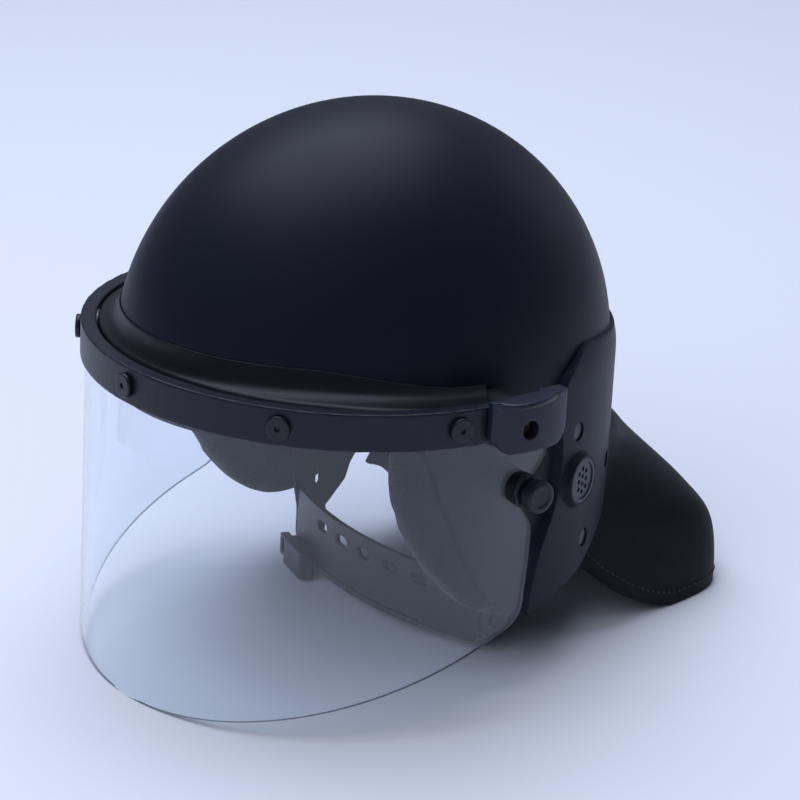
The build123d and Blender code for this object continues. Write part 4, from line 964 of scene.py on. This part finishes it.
neck_guard()
roll_path = rim_path(inset=0.0, lift=ROLL_RADIUS, into=GUARD_WALL / 2, first_down=0.12)
tube("neck_guard_roll", roll_path, ROLL_RADIUS, "leather", "helmet")
stitch_path = rim_path(inset=6.0, lift=8.0, into=-0.1, first_down=0.2)
stitch_row("neck_guard_stitches", stitch_path, "pad_fabric", "helmet")


# ---- moulded parts whose edges are rounded as well as their shading


def eased(name, source, cell_mm, rounds):
    """A copy of a CAD node with its edges worn round: joined, filled with cells and smoothed."""
    entry = next(entry for entry in record["subparts"] if entry["node"] == source)
    piece = merged_copy(name, nodes[source])
    settled(piece)
    in_cells(piece, cell_mm)
    smoothed(piece, rounds)
    settled(piece)
    piece.data.shade_smooth()
    dressed(piece, entry["material_slot"], body_of(source), [source])


for side in ("left", "right"):
    eased("cover_moulding_" + side, "hinge_cover_" + side, cell_mm=0.5, rounds=5)
    eased("knob_moulding_" + side, "lock_knob_" + side, cell_mm=0.4, rounds=8)
    eased("strap_moulding_" + side, "side_strap_" + side, cell_mm=0.6, rounds=3)
for number in range(1, 6):
    eased(f"button_screw_{number}", f"shield_screw_{number}", cell_mm=0.3, rounds=3)
eased("chin_band_moulding", "chin_band", cell_mm=0.6, rounds=3)
eased("buckle_moulding", "buckle_housing", cell_mm=0.4, rounds=8)
eased("tongue_moulding", "buckle_tongue", cell_mm=0.4, rounds=4)
eased("frame_band", "visor_frame", cell_mm=0.7, rounds=3)


# ---- pads: cloth over foam, blown up a little by a cloth simulation

PRESSURE = 4.0
SIM_FRAMES = 20


def soft_pad(source, slot, cell_mm, shrink_mm, cap_mm):
    """A pad in the space of its CAD solid: remeshed, shrunk, blown up, capped and smoothed."""
    piece = merged_copy(source + "_cloth", nodes[source])
    in_cells(piece, cell_mm)
    settled(piece)
    smoothed(piece, 4)
    inward = piece.modifiers.new("inward", "DISPLACE")
    inward.strength = -shrink_mm / 1000
    inward.mid_level = 0.0
    settled(piece)
    blow_up(piece, cap_mm)
    rounds = piece.modifiers.new("rounds", "SUBSURF")
    rounds.levels = 1
    rounds.render_levels = 1
    settled(piece)
    piece.data.shade_smooth()
    dressed(piece, slot, "helmet", [source])
    return piece


def blow_up(piece, cap_mm):
    """Cloth with pressure and no gravity; no point moves further than the cap."""
    before = [vertex.co.copy() for vertex in piece.data.vertices]
    cloth = piece.modifiers.new("cloth", "CLOTH")
    cloth.settings.use_pressure = True
    cloth.settings.uniform_pressure_force = PRESSURE
    cloth.settings.effector_weights.gravity = 0.0
    cloth.settings.quality = 5
    scene = bpy.context.scene
    for number in range(1, SIM_FRAMES + 1):
        scene.frame_set(number)
    settled(piece)
    scene.frame_set(1)
    cap = cap_mm / 1000
    for vertex, start in zip(piece.data.vertices, before):
        move = vertex.co - start
        if move.length > cap:
            vertex.co = start + move * (cap / move.length)


def mirrored_pad(twin, source, slot):
    """The other side's pad: the first one's mesh mirrored, its faces turned back outwards."""
    mesh = twin.data.copy()
    mesh.name = source + "_cloth"
    mesh.transform(Matrix.Scale(-1, 4, (1, 0, 0)))
    mesh.flip_normals()
    piece = dressed(linked(mesh.name, mesh), slot, "helmet", [source])


left_pad = soft_pad("ear_pad_left", "ear_fabric", cell_mm=5.0, shrink_mm=2.6, cap_mm=4.0)
mirrored_pad(left_pad, "ear_pad_right", "ear_fabric")
for source in ("brow_pad", "nape_pad", "crown_pad"):
    soft_pad(source, "pad_fabric", cell_mm=4.0, shrink_mm=0.9, cap_mm=2.0)


# ---- studio

FLOOR_REACH = 9.0
# the world's strength as light, and as the pale wall that the lens sees
AIR_LIGHT = 0.12
AIR_SEEN = 0.78
GLOSS_SHARE = 0.22
# the lamps' name, place, size, power in watts and colour
LAMPS = (
    ("top_softbox", (-0.8, 0.3, 2.3), 2.3, 54, "#dfe7ff"),
    ("rear_softbox", (-0.3, 2.6, 0.9), 1.4, 3, "#dfe7ff"),
    ("front_fill", (0.6, -1.6, 2.2), 2.6, 58, "#e6ecff"),
)
LAMP_TARGET = Vector((0, 0, 0.14))


def floor():
    """Pale matt paper under the object."""
    sheet = bpy.data.meshes.new("sweep")
    corners = ((-1, -1), (1, -1), (1, 1), (-1, 1))
    points = [(x * FLOOR_REACH, y * FLOOR_REACH, 0) for x, y in corners]
    sheet.from_pydata(points, [], [(0, 1, 2, 3)])
    material, tree, _ = new_material("pale_paper")
    surface = node(
        tree,
        "ShaderNodeBsdfPrincipled",
        {"Base Color": hex_colour("#e4e7ea"), "Roughness": 0.9, "Specular IOR Level": 0.1},
    )
    node(tree, "ShaderNodeOutputMaterial", {"Surface": surface})
    sheet.materials.append(material)
    linked("floor", sheet)


def air():
    """A soft world: a pale wall to the eye and through the shield, dimmer in gloss and as light."""
    world = bpy.data.worlds.new("studio_air")
    bpy.context.scene.world = world
    world.use_nodes = True
    tree = world.node_tree
    tree.nodes.clear()
    path = node(tree, "ShaderNodeLightPath").outputs
    direct = node(
        tree,
        "ShaderNodeMath",
        {0: path["Is Camera Ray"], 1: path["Is Transmission Ray"]},
        operation="MAXIMUM",
    )
    glossy = node(
        tree, "ShaderNodeMath", {0: path["Is Glossy Ray"], 1: GLOSS_SHARE}, operation="MULTIPLY"
    )
    seen = node(tree, "ShaderNodeMath", {0: direct, 1: glossy}, operation="MAXIMUM")
    strength = node(
        tree, "ShaderNodeMapRange", {"Value": seen, "To Min": AIR_LIGHT, "To Max": AIR_SEEN}
    )
    background = node(
        tree, "ShaderNodeBackground", {"Color": hex_colour("#d3def5"), "Strength": strength}
    )
    node(tree, "ShaderNodeOutputWorld", {"Surface": background})


def lamps():
    """Large soft lamps that face the helmet."""
    for name, place, size, power, colour in LAMPS:
        light = bpy.data.lights.new(name, "AREA")
        light.size = size
        light.energy = power
        light.color = hex_colour(colour)[:3]
        lamp = linked(name, light)
        lamp.location = place
        lamp.rotation_euler = (LAMP_TARGET - Vector(place)).to_track_quat("-Z", "Y").to_euler()
        # the fill only brightens the paper: it leaves no second highlight on the glossy parts
        lamp.visible_glossy = name != "front_fill"


def camera():
    """The photograph's viewpoint, fitted to its outlines: from the wearer's front left, above."""
    lens = bpy.data.cameras.new("camera")
    lens.sensor_width = 36.0
    lens.lens = 152.55
    lens.clip_start = 0.05
    view = linked("camera", lens)
    view.location = (1.3549, -1.0335, 0.8083)
    view.rotation_euler = (radians(68.12), 0, radians(52.4))
    bpy.context.scene.camera = view


floor()
air()
lamps()
camera()
bpy.context.scene.view_settings.view_transform = "Standard"
